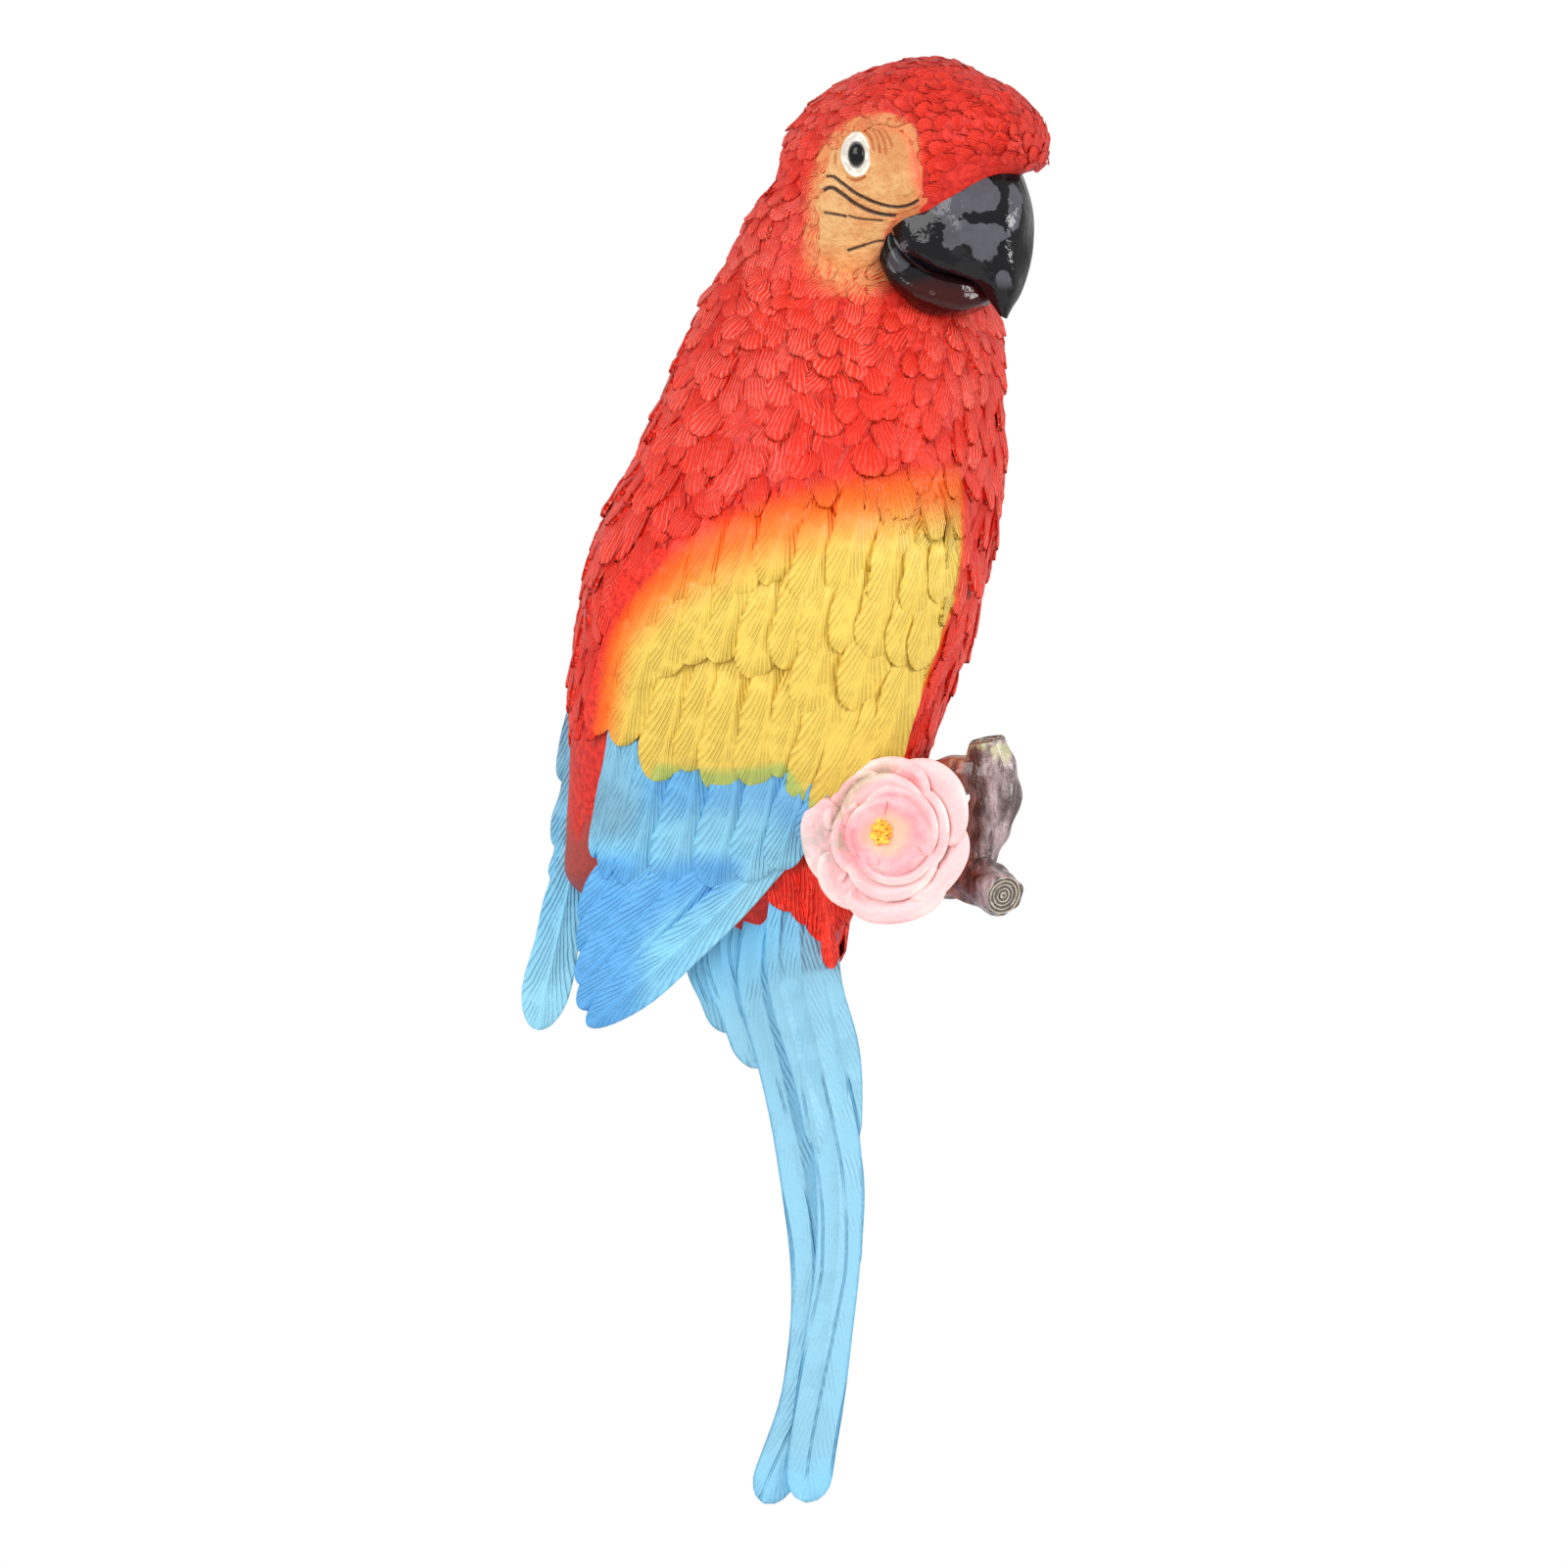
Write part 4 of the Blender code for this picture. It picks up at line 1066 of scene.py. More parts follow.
covert_paint = covert_finish()
for name in ("greater_coverts", "middle_coverts", "median_coverts", "lesser_coverts"):
    coverts = wing_row(name)
    store(coverts, gold=airbrushed, green=tip_green if name == "greater_coverts" else no_share)
    place_piece(coverts, covert_paint)

PALE_SKY = pot(156, 214, 232)
DEEP_SKY = pot(58, 140, 212)
LILAC = pot(112, 148, 168)
FLIGHT_SKY = pot(128, 196, 226)
# Painted shade between the barbs and towards the edges of the flight feathers
FLIGHT_SHADE = pot(96, 168, 208)
# The middle of the stronger blue on the primaries, seen from the front
DEEP_BAND = ((-14.0, -60.0), (-26.0, -64.0), (-36.0, -76.0), (-42.0, -91.0))


def flight_finish():
    finish, tone, speck = blade_finish("blue_flight_paint", FLIGHT_SKY, FLIGHT_SHADE, 0.22)
    wash = finish.noise(40.0, 3.0)
    pale = finish.mix(finish.ramp(wash + finish.stored("paleness") * 0.5, 0.6, 1.1) * 0.6, tone, PALE_SKY)
    grey = finish.mix(finish.stored("lilac") * (0.30 + finish.ramp(wash, 0.35, 0.65) * 0.35), pale, LILAC)
    finish.feed("Base Color", finish.mix(finish.stored("deep") * 0.66, grey, DEEP_SKY))
    return finish


def lilac_share(points):
    """Grey-violet overspray at the wing's left edge."""
    return fade(-26.0, -35.0, points[:, 0]) * fade(-56.0, -50.0, points[:, 2])


def deep_share(points):
    """Stronger blue under the yellow tips, on the secondaries' tips and down the left primaries."""
    x, z = points[:, 0], points[:, 2]
    under_tips = fade(-52.0, -43.0, z + 0.25 * fade(-6.0, 4.0, x) * 20) * fade(-33.0, -26.0, x)
    band = fade(9.0, 1.0, apart_from(along(DEEP_BAND, 40), x, z))
    left = fade(-26.0, -34.0, x) * fade(-53.0, -57.0, z)
    return np.clip(0.75 * under_tips + np.maximum(band, left) * fade(-53.0, -59.0, z), 0, 1)


flight_paint = flight_finish()
for name in ("secondaries", "primaries"):
    flight = wing_row(name)
    store(flight, lilac=lilac_share, deep=deep_share, paleness=lambda p: fade(-34.0, -4.0, p[:, 0]))
    place_piece(flight, flight_paint)

# Left wing
# Only its folded edge and long tip show past the bird's left side, down to the wall.
LEFT_WING_FEATHERS = (
    ((-41.0, -14.0), (-43.6, -28.0), (-46.6, -41.0), 2.7),
    ((-41.0, -28.0), (-44.2, -42.0), (-47.8, -55.0), 2.9),
    ((-42.0, -42.0), (-45.0, -54.0), (-47.6, -63.0), 3.2),
    ((-43.4, -54.0), (-48.2, -76.0), (-52.2, -93.4), 4.9),
)
LEFT_WING_DEPTH = 11.5
LEFT_WING_TIP_DEPTH = 8.0
# Each back lies this much further in than the last, so that no two share a plane
BACK_STEP = 0.12


def flat_behind(ring, number):
    """Takes a feather's back to the wall, each one a little differently."""
    ring = ring.reshape(BLADE_STATIONS, -1, 3)
    ring[:, len(BLADE_ACROSS):, 1] = -CLEAR_OF_WALL - BACK_STEP * number
    return ring.reshape(-1, 3)


def standing_blade(number, path, half_width, near, far, ragged=0.05):
    """A feather that stands out from the wall, near at its root and far at its tip."""
    def depth_at(x, z, t):
        return -near + (near - far) * t + 0 * x

    ring, faces, values = blade_arrays(path, half_width, depth_at, 1.0, 0.0, 0.22, ragged)
    return flat_behind(ring, number), faces, values


left_wing = joined(
    "left_wing",
    [
        standing_blade(number, path, width, LEFT_WING_DEPTH, LEFT_WING_TIP_DEPTH)
        for number, (*path, width) in enumerate(LEFT_WING_FEATHERS)
    ],
)
store(
    left_wing,
    lilac=lambda p: fade(-66.0, -52.0, p[:, 2]),
    deep=no_share,
    paleness=lambda p: fade(-60.0, -80.0, p[:, 2]),
)
place_piece(left_wing, flight_paint)

# Tail
# Long blades one beside and over the other, in pale blue with deep grooves, flat on the wall behind.
# Half width, layer, points along the middle
TAIL_FEATHERS = (
    (4.6, 0, ((-14.0, -62.0), (-16.6, -76.0), (-13.4, -86.0), (-9.6, -93.8))),
    (4.2, 1, ((-11.0, -62.0), (-13.2, -77.0), (-10.0, -88.0), (-6.8, -96.0), (-5.0, -101.4))),
    (3.9, 0, ((7.0, -90.0), (11.6, -112.0), (13.2, -130.0), (12.4, -146.5))),
    (3.6, 1, ((7.0, -62.0), (8.6, -82.0), (12.4, -98.0), (13.2, -110.0), (12.8, -119.0))),
    (4.6, 1, ((-2.0, -62.0), (-5.0, -82.0), (-1.0, -100.0), (3.2, -120.0), (5.8, -140.0), (5.6, -160.0),
              (3.8, -173.0), (-0.6, -185.0), (-4.2, -193.6))),
    (5.0, 2, ((3.0, -62.0), (4.0, -82.0), (8.0, -100.0), (11.4, -120.0), (11.6, -140.0), (9.2, -160.0),
              (7.6, -172.0), (6.0, -183.0), (4.8, -193.4))),
    (2.6, 3, ((0.0, -62.0), (-1.0, -82.0), (3.0, -98.0), (6.2, -110.0), (7.7, -119.4))),
)
TAIL_LAYER = 0.8
# Height, and how far the tail stands out from the wall there
TAIL_DEPTHS = (
    (-194.0, 6.5), (-160.0, 9.0), (-120.0, 11.0), (-100.0, 13.5),
    (-86.0, 18.0), (-72.0, 23.5), (-60.0, 27.0),
)
# Length of the rounded tip
TAIL_TIP = 6.5
TAIL_SKY = pot(131, 185, 209)
TAIL_GROOVE = pot(80, 148, 186)
TAIL_DEEP = pot(106, 188, 232)


def tail_blade(number, half_width, layer, path):
    def depth_at(x, z, t):
        return -smooth_table(TAIL_DEPTHS, z)[..., 0] - layer * TAIL_LAYER

    length = path[0][1] - path[-1][1]
    ring, faces, values = blade_arrays(path, half_width, depth_at, 1.0, 0.0, TAIL_TIP / length, 0.04, 1.05)
    return flat_behind(ring, number), faces, values


def tail_finish():
    finish = Finish("pale_blue_tail_paint", Specular_IOR_Level=0.35)
    far, wide, side, shade = (finish.stored(k) for k in ("far", "wide", "side", "shade"))
    wander = finish.noise(60.0, 2.0)
    weave = finish.wave(far * 0.07 + shade * 9.0)
    streak = finish.wave(wide * 1.25 + weave * 1.4 + shade * 20.0 + wander * 1.5)
    barb = finish.wave((far - abs(wide) * 4.0) * 1.6 + wander * 14.0)
    speck = finish.noise(900.0, 4.0)
    groove = finish.ramp(streak, -0.90, -1.0) * finish.ramp(finish.noise(40.0, 1.0), 0.44, 0.56)
    faint = finish.ramp(finish.noise(150.0, 2.0), 0.40, 0.60)
    finish.emboss((1 - groove) * 0.9 + barb * faint * 0.22 + speck * 0.4, 0.45)
    edge = finish.ramp(abs(side), 0.80, 1.0)
    shadow = groove * 0.6 + edge * 0.6 - barb * faint * 0.1 + speck * 0.5
    tone = finish.mix(finish.ramp(shadow, 0.3, 1.2), TAIL_SKY, TAIL_GROOVE)
    finish.feed("Base Color", finish.mix(finish.stored("deep"), tone, TAIL_DEEP))
    finish.feed("Roughness", 0.48 - speck * 0.14)
    return finish


def tail_blue_share(points):
    """Stronger blue at the root of the tail and at its lowest tips."""
    x, z = points[:, 0], points[:, 2]
    return 0.35 * fade(-180.0, -192.0, z) + 0.75 * fade(-96.0, -72.0, z - 0.6 * x - 8.0)


tail = joined("tail", [tail_blade(number, *feather) for number, feather in enumerate(TAIL_FEATHERS)])
store(tail, deep=tail_blue_share)
place_piece(tail, tail_finish())

# Under-tail feathers
# A fan of ragged scarlet feathers lies over the root of the tail, between wing and flower.
VENT_FEATHERS = (
    ((-9.0, -56.0), (-6.0, -61.0), (-2.2, -66.0), 3.0),
    ((-5.0, -54.0), (-1.6, -60.6), (2.0, -68.0), 3.4),
    ((-1.0, -52.0), (2.6, -61.0), (5.6, -71.0), 3.6),
    ((3.0, -52.0), (6.6, -62.0), (9.2, -75.0), 3.4),
    ((7.0, -50.0), (10.6, -60.0), (11.4, -71.6), 3.9),
    ((6.0, -56.0), (8.8, -68.0), (10.2, -80.4), 1.9),
)
VENT_DEPTH = 33.0
VENT_TIP_DEPTH = 27.5


def vent_finish():
    # Deep scarlet is painted shade between the barbs and towards the edges
    finish, scarlet_tone, speck = blade_finish("scarlet_vent_paint", SCARLET, DEEP_SCARLET, 0.7)
    finish.feed("Base Color", finish.mix(finish.ramp(speck, 0.56, 0.70) * 0.3, scarlet_tone, ROSE))
    return finish


vent = joined(
    "under_tail",
    [
        standing_blade(number + 0.5, path, width, VENT_DEPTH, VENT_TIP_DEPTH, 0.12)
        for number, (*path, width) in enumerate(VENT_FEATHERS)
    ],
)
place_piece(vent, vent_finish())

# Beak
# A hooked upper half over a shorter lower half, with a dark gap between, in thick black gloss enamel.
# Section: inner x, inner z, outer x, outer z, half width, in the head's middle plane from root to tip
UPPER_BEAK = (
    (26.0, 80.5, 46.5, 90.5, 11.6),
    (27.4, 76.6, 49.2, 87.0, 13.4),
    (29.9, 71.0, 51.4, 79.5, 13.2),
    (34.2, 67.0, 51.6, 72.0, 11.2),
    (38.8, 65.6, 50.8, 66.4, 8.6),
    (42.3, 63.8, 49.4, 61.6, 5.6),
    (44.2, 60.4, 47.8, 58.6, 3.2),
    (45.8, 57.0, 46.9, 56.4, 0.9),
)
LOWER_BEAK = (
    (28.5, 79.5, 24.0, 76.0, 9.6),
    (27.5, 75.4, 23.0, 70.0, 12.8),
    (28.0, 71.6, 24.6, 64.6, 13.4),
    (30.2, 68.4, 28.0, 60.0, 12.8),
    (33.6, 66.2, 32.2, 57.2, 11.6),
    (37.2, 65.0, 37.4, 57.2, 9.4),
    (40.6, 64.2, 41.4, 58.8, 6.2),
    (43.4, 63.4, 44.2, 60.6, 1.8),
)
# How round the halves are across: 1 is an ellipse, less is fuller
UPPER_BEAK_CURVE = 0.8
LOWER_BEAK_CURVE = 0.6
BEAK_STATIONS = 44
BEAK_SIDES = 40


def mandible(name, sections, curve, ridge):
    """Half of a beak: flat along its biting edge and round outside, narrowing to its tip."""
    keyed = [(i, *row) for i, row in enumerate(sections)]
    t = np.linspace(0, len(sections) - 1, BEAK_STATIONS)[:, None]
    inner_x, inner_z, outer_x, outer_z, half_width = np.moveaxis(smooth_table(keyed, t), -1, 0)
    angle = np.linspace(0, math.pi, BEAK_SIDES)[None, :]
    across = np.abs(np.cos(angle)) ** curve
    out = np.sin(angle) ** curve
    aside = half_width * np.sign(np.cos(angle)) * across
    lip = ridge * np.exp(-(((out - 0.16) / 0.07) ** 2))
    groove = ridge * np.exp(-(((out - 0.34) / 0.08) ** 2))
    aside *= 1 + lip - groove
    x = inner_x + (outer_x - inner_x) * out
    z = inner_z + (outer_z - inner_z) * out
    rings = head_place((x - HEAD_X) / math.cos(HEAD_TURN), aside, z)
    return closed_skin(name, rings)


def enamel(name, colour, low_reflection, reflection_strength=0.0):
    """Thick gloss enamel, lumpy where it ran, with grey patches of painted reflection and, low down, a
    painted reflection in the second colour.
    """
    finish = Finish(name, Specular_IOR_Level=0.34)
    run_marks = finish.noise(80.0, 1.0)
    fine_marks = finish.noise(420.0, 3.0)
    # Painted reflection: the second colour comes in below the given heights
    low = finish.ramp(finish.axis("Z") + (run_marks - 0.5) * 0.006, *[v * MM for v in LOW_REFLECTION_HEIGHTS])
    # Painted reflection: grey patches on the enamel where the stored share is high
    bloom = finish.ramp(finish.stored("bloom") + (finish.noise(260.0, 4.0) - 0.5) * 1.1, 0.30, 0.36)
    reflected = finish.mix(bloom * reflection_strength * (0.65 + fine_marks * 0.5), colour, REFLECTION_GREY)
    finish.feed("Base Color", finish.mix(low, reflected, low_reflection))
    finish.emboss(run_marks * 4.0 + fine_marks * 0.35, 0.8)
    finish.feed("Roughness", 0.05 + fine_marks * 0.07)
    return finish


BLACK_ENAMEL = pot(12, 12, 15)
# Painted reflection of the red plumage, low on the lower beak
MAROON_REFLECTION = pot(52, 9, 7)
TONGUE_BLACK = pot(30, 10, 8)
# Painted reddish-brown glint, low on the tongue
TONGUE_REFLECTION = pot(40, 12, 8)
# Painted reflection: grey of the studio's softboxes on the black enamel
REFLECTION_GREY = pot(90, 90, 98)
# Heights between which a painted reddish-brown reflection comes in, low on the lower beak and the tongue
LOW_REFLECTION_HEIGHTS = (65.4, 62.6)
# Where grey patches of painted reflection lie on the beak, seen from the front: place and reach
REFLECTION_PATCHES = (
    (34.2, 80.6, 5.6, 5.4), (41.8, 82.4, 5.2, 6.4), (36.4, 74.2, 4.6, 4.4), (42.6, 72.6, 5.6, 6.0),
    (46.6, 63.6, 2.6, 4.6), (48.6, 80.0, 2.4, 6.0), (24.0, 69.4, 3.6, 4.6),
)


def bloom_share(points):
    """How near a place is to the middle of a grey patch of painted reflection, 1 at the middle."""
    near = [
        1 - np.hypot((points[:, 0] - x) / across, (points[:, 2] - z) / high)
        for x, z, across, high in REFLECTION_PATCHES
    ]
    return np.maximum(np.max(near, axis=0), 0)


upper_beak = mandible("upper_beak", UPPER_BEAK, UPPER_BEAK_CURVE, 0.02)
store(upper_beak, bloom=bloom_share)
place_piece(upper_beak, enamel("black_beak_enamel", BLACK_ENAMEL, BLACK_ENAMEL, 0.85))
lower_beak = mandible("lower_beak", LOWER_BEAK, LOWER_BEAK_CURVE, 0.035)
store(lower_beak, bloom=bloom_share)
place_piece(lower_beak, enamel("black_lower_beak_enamel", BLACK_ENAMEL, MAROON_REFLECTION, 0.5))

# Distance ahead, top, bottom, half width of the dark tongue between the two halves
TONGUE_SECTIONS = (
    (3.0, 82.0, 72.0, 11.0), (8.0, 78.0, 68.0, 12.0), (12.0, 72.0, 65.0, 11.4), (16.0, 68.5, 62.0, 9.6),
    (21.0, 66.0, 61.5, 7.0), (25.0, 64.6, 62.6, 3.0),
)
ahead = np.linspace(TONGUE_SECTIONS[0][0], TONGUE_SECTIONS[-1][0], 20)[:, None]
top, bottom, half_width = np.moveaxis(smooth_table(TONGUE_SECTIONS, ahead), -1, 0)
angle = np.linspace(0, 2 * math.pi, 20, endpoint=False)
middle, half_height = (top + bottom) / 2, (top - bottom) / 2
tongue = closed_skin(
    "tongue", head_place(ahead, half_width * np.cos(angle), middle + half_height * np.sin(angle))
)
place_piece(tongue, enamel("dark_tongue_enamel", TONGUE_BLACK, TONGUE_REFLECTION))

# Face and eyes
# Bare skin round each eye, sprayed tan and orange and wrinkled with a tool. Thin black lines are
# engraved and inked below the eye, and the eye is a black bead in a hand-painted white ring.
FACE_CENTRE = (17.6, 83.0)
FACE_RINGS = 70
FACE_SIDES = 260
FACE_PROUD = 0.5
EYE_PLACE = (15.5, 90.6)
EYE_SIZE = (1.7, 2.35)
WHITE_SIZE = (2.85, 4.45)
# Half width of each line, and its points seen from the front
INK_LINES = (
    (0.42, ((8.0, 85.2), (9.0, 86.1), (10.4, 86.1), (12.2, 84.9), (15.1, 82.7), (18.3, 81.1),
            (21.5, 80.1), (24.7, 79.9), (27.2, 80.6), (29.0, 81.8))),
    (0.46, ((8.0, 82.9), (10.0, 83.8), (12.0, 82.8), (14.6, 80.8), (18.0, 79.0), (21.6, 78.2),
            (24.6, 78.2), (27.4, 79.2))),
    (0.30, ((8.8, 78.6), (11.2, 78.2), (13.2, 77.8))),
    (0.24, ((13.8, 77.9), (15.6, 77.4), (17.6, 77.2), (20.6, 77.0))),
    (0.34, ((13.6, 70.8), (15.2, 71.3), (17.0, 71.9))),
    (0.26, ((17.2, 72.0), (19.0, 72.6), (20.8, 72.9))),
)
BROW_FOLDS = (
    (0.45, ((15.6, 96.0), (17.4, 95.4), (18.6, 93.8), (19.0, 91.8))),
    (0.45, ((16.4, 96.8), (18.6, 95.8), (19.9, 93.8), (20.3, 91.2))),
    (0.45, ((18.0, 97.0), (20.0, 95.6), (21.2, 93.4), (21.6, 90.8))),
    (0.40, ((20.4, 96.6), (21.8, 94.8), (22.8, 92.4))),
    (0.40, ((12.4, 94.0), (11.2, 91.8), (11.0, 89.0))),
    (0.35, ((13.6, 85.8), (15.4, 85.2), (17.2, 86.0))),
)
DARK_SKIN = pot(198, 132, 76)
LIGHT_SKIN = pot(214, 166, 108)
ORANGE_SKIN = pot(242, 140, 74)
ROSE_RIM = pot(232, 92, 66)
FOLD_SHADE = pot(186, 84, 48)
DULL_WHITE = pot(206, 200, 188)
CLEAN_WHITE = pot(238, 234, 222)
EYE_SHADE_GREY = pot(84, 76, 72)
INK = pot(54, 32, 26)


def from_front(x, z):
    """Where a straight look from the front meets the sculpted form, and the skin's direction there."""
    points, normals = np.empty(x.shape + (3,)), np.empty(x.shape + (3,))
    for i in np.ndindex(x.shape):
        hit, normal, _, _ = form_tree.ray_cast(Vector((x[i], -200.0, z[i])), Vector((0, 1, 0)))
        points[i] = hit if hit else (x[i], HEAD_Y, z[i])
        normals[i] = normal if hit else (0, -1, 0)
    return points, normals


def nearest_on_form(places):
    """The nearest places of the sculpted form, and the skin's direction there."""
    points, normals = np.empty(places.shape), np.empty(places.shape)
    for i in np.ndindex(places.shape[:2]):
        points[i], normals[i], _, _ = form_tree.find_nearest(Vector(places[i]))
    return points, normals


def face_patch(name, mirrored):
    rim = along(FACE_OUTLINE + FACE_OUTLINE[:1], FACE_SIDES + 1)[:-1]
    share = np.linspace(0.004, 1.0, FACE_RINGS)[:, None]
    x = FACE_CENTRE[0] + (rim[:, 0] - FACE_CENTRE[0]) * share
    z = FACE_CENTRE[1] + (rim[:, 1] - FACE_CENTRE[1]) * share
    points, normals = from_front(x, z)
    if mirrored:
        points, normals = nearest_on_form(mirrored_in_head(points))
    ink = np.zeros(x.shape)
    for half_width, line in INK_LINES:
        apart = apart_from(along(line, 40), x, z)
        ink = np.maximum(ink, fade(half_width + 0.10, half_width - 0.16, apart))
    fold = np.zeros(x.shape)
    for half_width, line in BROW_FOLDS:
        fold = np.maximum(fold, fade(half_width, 0.0, apart_from(along(line, 40), x, z)))
    eye = np.hypot((x - EYE_PLACE[0]) / WHITE_SIZE[0], (z - EYE_PLACE[1]) / WHITE_SIZE[1])
    wobble = 0.035 * np.sin(3 * np.arctan2(z - EYE_PLACE[1], x - EYE_PLACE[0]) + 1.0)
    white = fade(1.08, 0.98, eye + wobble)
    lid = np.exp(-(((eye - 1.0) / 0.16) ** 2))
    height = FACE_PROUD * fade(1.0, 0.86, share) - 0.45 * ink - 0.5 * fold + 0.5 * lid
    points = points + normals * height[..., None]
    faces = ring_faces(FACE_RINGS, FACE_SIDES, True)
    faces.append(tuple(range(FACE_SIDES)))
    values = {
        "ink": ink.ravel(),
        "white": white.ravel(),
        "rim": (share + 0 * x).ravel(),
        "fold": fold.ravel(),
        "eye": eye.ravel(),
    }
    return outward_from(make(name, points.reshape(-1, 3), faces, values), HEAD_X, HEAD_Y)


def outward_from(obj, x, y):
    """Turns an open skin so that its faces look away from an upright line."""
    bm = bmesh.new()
    bm.from_mesh(obj.data)
    looks = 0
    for face in bm.faces:
        middle = face.calc_center_median()
        looks += (middle - Vector((x * MM, y * MM, middle.z))).dot(face.normal)
    if looks < 0:
        bmesh.ops.reverse_faces(bm, faces=bm.faces[:])
    bm.to_mesh(obj.data)
    bm.free()
    return obj


def face_finish():
    finish = Finish("tan_face_paint", Specular_IOR_Level=0.35)
    wash = finish.noise(110.0, 3.0)
    wrinkle = finish.noise(620.0, 5.0)
    x, z = (finish.axis(k) for k in "XZ")
    skin = finish.mix(finish.ramp(wash + wrinkle * 0.6, 0.6, 1.0), DARK_SKIN, LIGHT_SKIN)
    low = finish.mix(finish.ramp(z, 0.074, 0.064) * 0.5, skin, ORANGE_SKIN)
    rim = finish.ramp(finish.stored("rim") + (wash - 0.5) * 0.5, 0.72, 1.08) * finish.ramp(x, 0.014, 0.024)
    rosy = finish.mix(rim * finish.ramp(z, 0.064, 0.074), low, ROSE_RIM)
    # Painted shade: darker rust-brown in the grooves of the brow folds
    folded = finish.mix(finish.stored("fold") * 0.75, rosy, FOLD_SHADE)
    eye_white = finish.mix(finish.ramp(wrinkle, 0.4, 0.6), DULL_WHITE, CLEAN_WHITE)
    whitened = finish.mix(finish.stored("white"), folded, eye_white)
    # Painted shade: grey on the white ring next to the raised eye bead
    eye_shaded = finish.mix(finish.ramp(finish.stored("eye"), 0.70, 0.56), whitened, EYE_SHADE_GREY)
    ink = finish.stored("ink") * finish.ramp(wrinkle + finish.stored("ink") * 0.5, 0.45, 0.75)
    finish.feed("Base Color", finish.mix(ink, eye_shaded, INK))
    finish.emboss(wrinkle * 1.5 + wash, 0.6)
    finish.feed("Roughness", 0.55 - wrinkle * 0.25)
    return finish


def eye_bead(name, mirrored):
    """A glossy black dome set in the skin."""
    angle = np.linspace(0, 2 * math.pi, 48, endpoint=False)[None, :]
    dome = np.linspace(0.0, 1.0, 14)[:, None]
    share, rise = np.cos(dome * math.pi / 2 * 0.985), 1.5 * np.sin(dome * math.pi / 2)
    x = EYE_PLACE[0] + EYE_SIZE[0] * share * np.cos(angle)
    z = EYE_PLACE[1] + EYE_SIZE[1] * share * np.sin(angle)
    points, normals = from_front(x, z)
    middle, facing = from_front(np.array([EYE_PLACE[0]]), np.array([EYE_PLACE[1]]))
    points = points + facing[0] * (rise[..., None] + 0.1)
    root = points[:1] - facing[0] * 1.2
    points = np.concatenate([root, points])
    if mirrored:
        points = mirrored_in_head(points)
    return closed_skin(name, points)


face_paint = face_finish()
bead_paint = enamel("black_eye_gloss", BLACK_ENAMEL, BLACK_ENAMEL)
for side, mirrored in (("near", False), ("far", True)):
    place_piece(face_patch(f"{side}_face", mirrored), face_paint)
    place_piece(eye_bead(f"{side}_eye", mirrored), bead_paint)

# Branch stub
# A forked stub runs from the wall behind the flower and ends in a sawn face; dark brown, wet-looking
# varnish over carved bark, with a touch of lichen on top.
# Name, and points along the middle with their radii
BRANCH_LIMBS = (
    ("perch", (((20.0, 2.0, -55.0), 5.8), ((20.6, -16.0, -54.6), 6.4), ((21.6, -30.0, -53.6), 6.2),
               ((21.7, -43.0, -52.0), 5.2))),
    ("fork_arm", (((21.0, -27.0, -57.0), 5.0), ((30.0, -29.0, -59.0), 5.4), ((38.0, -31.0, -60.4), 5.6),
                  ((42.6, -35.0, -62.6), 5.0), ((46.2, -41.0, -64.8), 4.4))),
    ("upper_stub", (((38.6, -30.6, -60.6), 4.6), ((41.6, -31.0, -53.0), 4.7), ((44.2, -31.6, -45.0), 5.3),
                    ((44.0, -32.4, -38.0), 5.2), ((43.0, -33.4, -32.2), 3.9))),
    ("stub_knot", (((44.0, -30.0, -49.0), 2.0), ((47.0, -27.4, -44.4), 3.2), ((47.6, -25.4, -41.6), 2.2))),
    ("upper_twig", (((22.0, -27.0, -44.0), 3.0), ((32.0, -28.6, -40.2), 3.9), ((41.6, -31.6, -38.8), 4.2))),
)
LIMB_SIDES = 36
BARK_LUMP = 0.05
# The growth rings cut in a sawn face, as shares of its radius
SAWN_RINGS = (0.93, 0.80, 0.66, 0.52, 0.38, 0.24, 0.10)
BARK_DARK = pot(76, 54, 54)
BARK_GRAIN_HIGHLIGHT = pot(180, 154, 157)
RUST_DARK = pot(96, 34, 18)
RUST_LIGHT = pot(168, 74, 44)
LICHEN = pot(186, 184, 140)
SAWN_DARK = pot(84, 74, 66)
SAWN_LIGHT = pot(196, 184, 164)


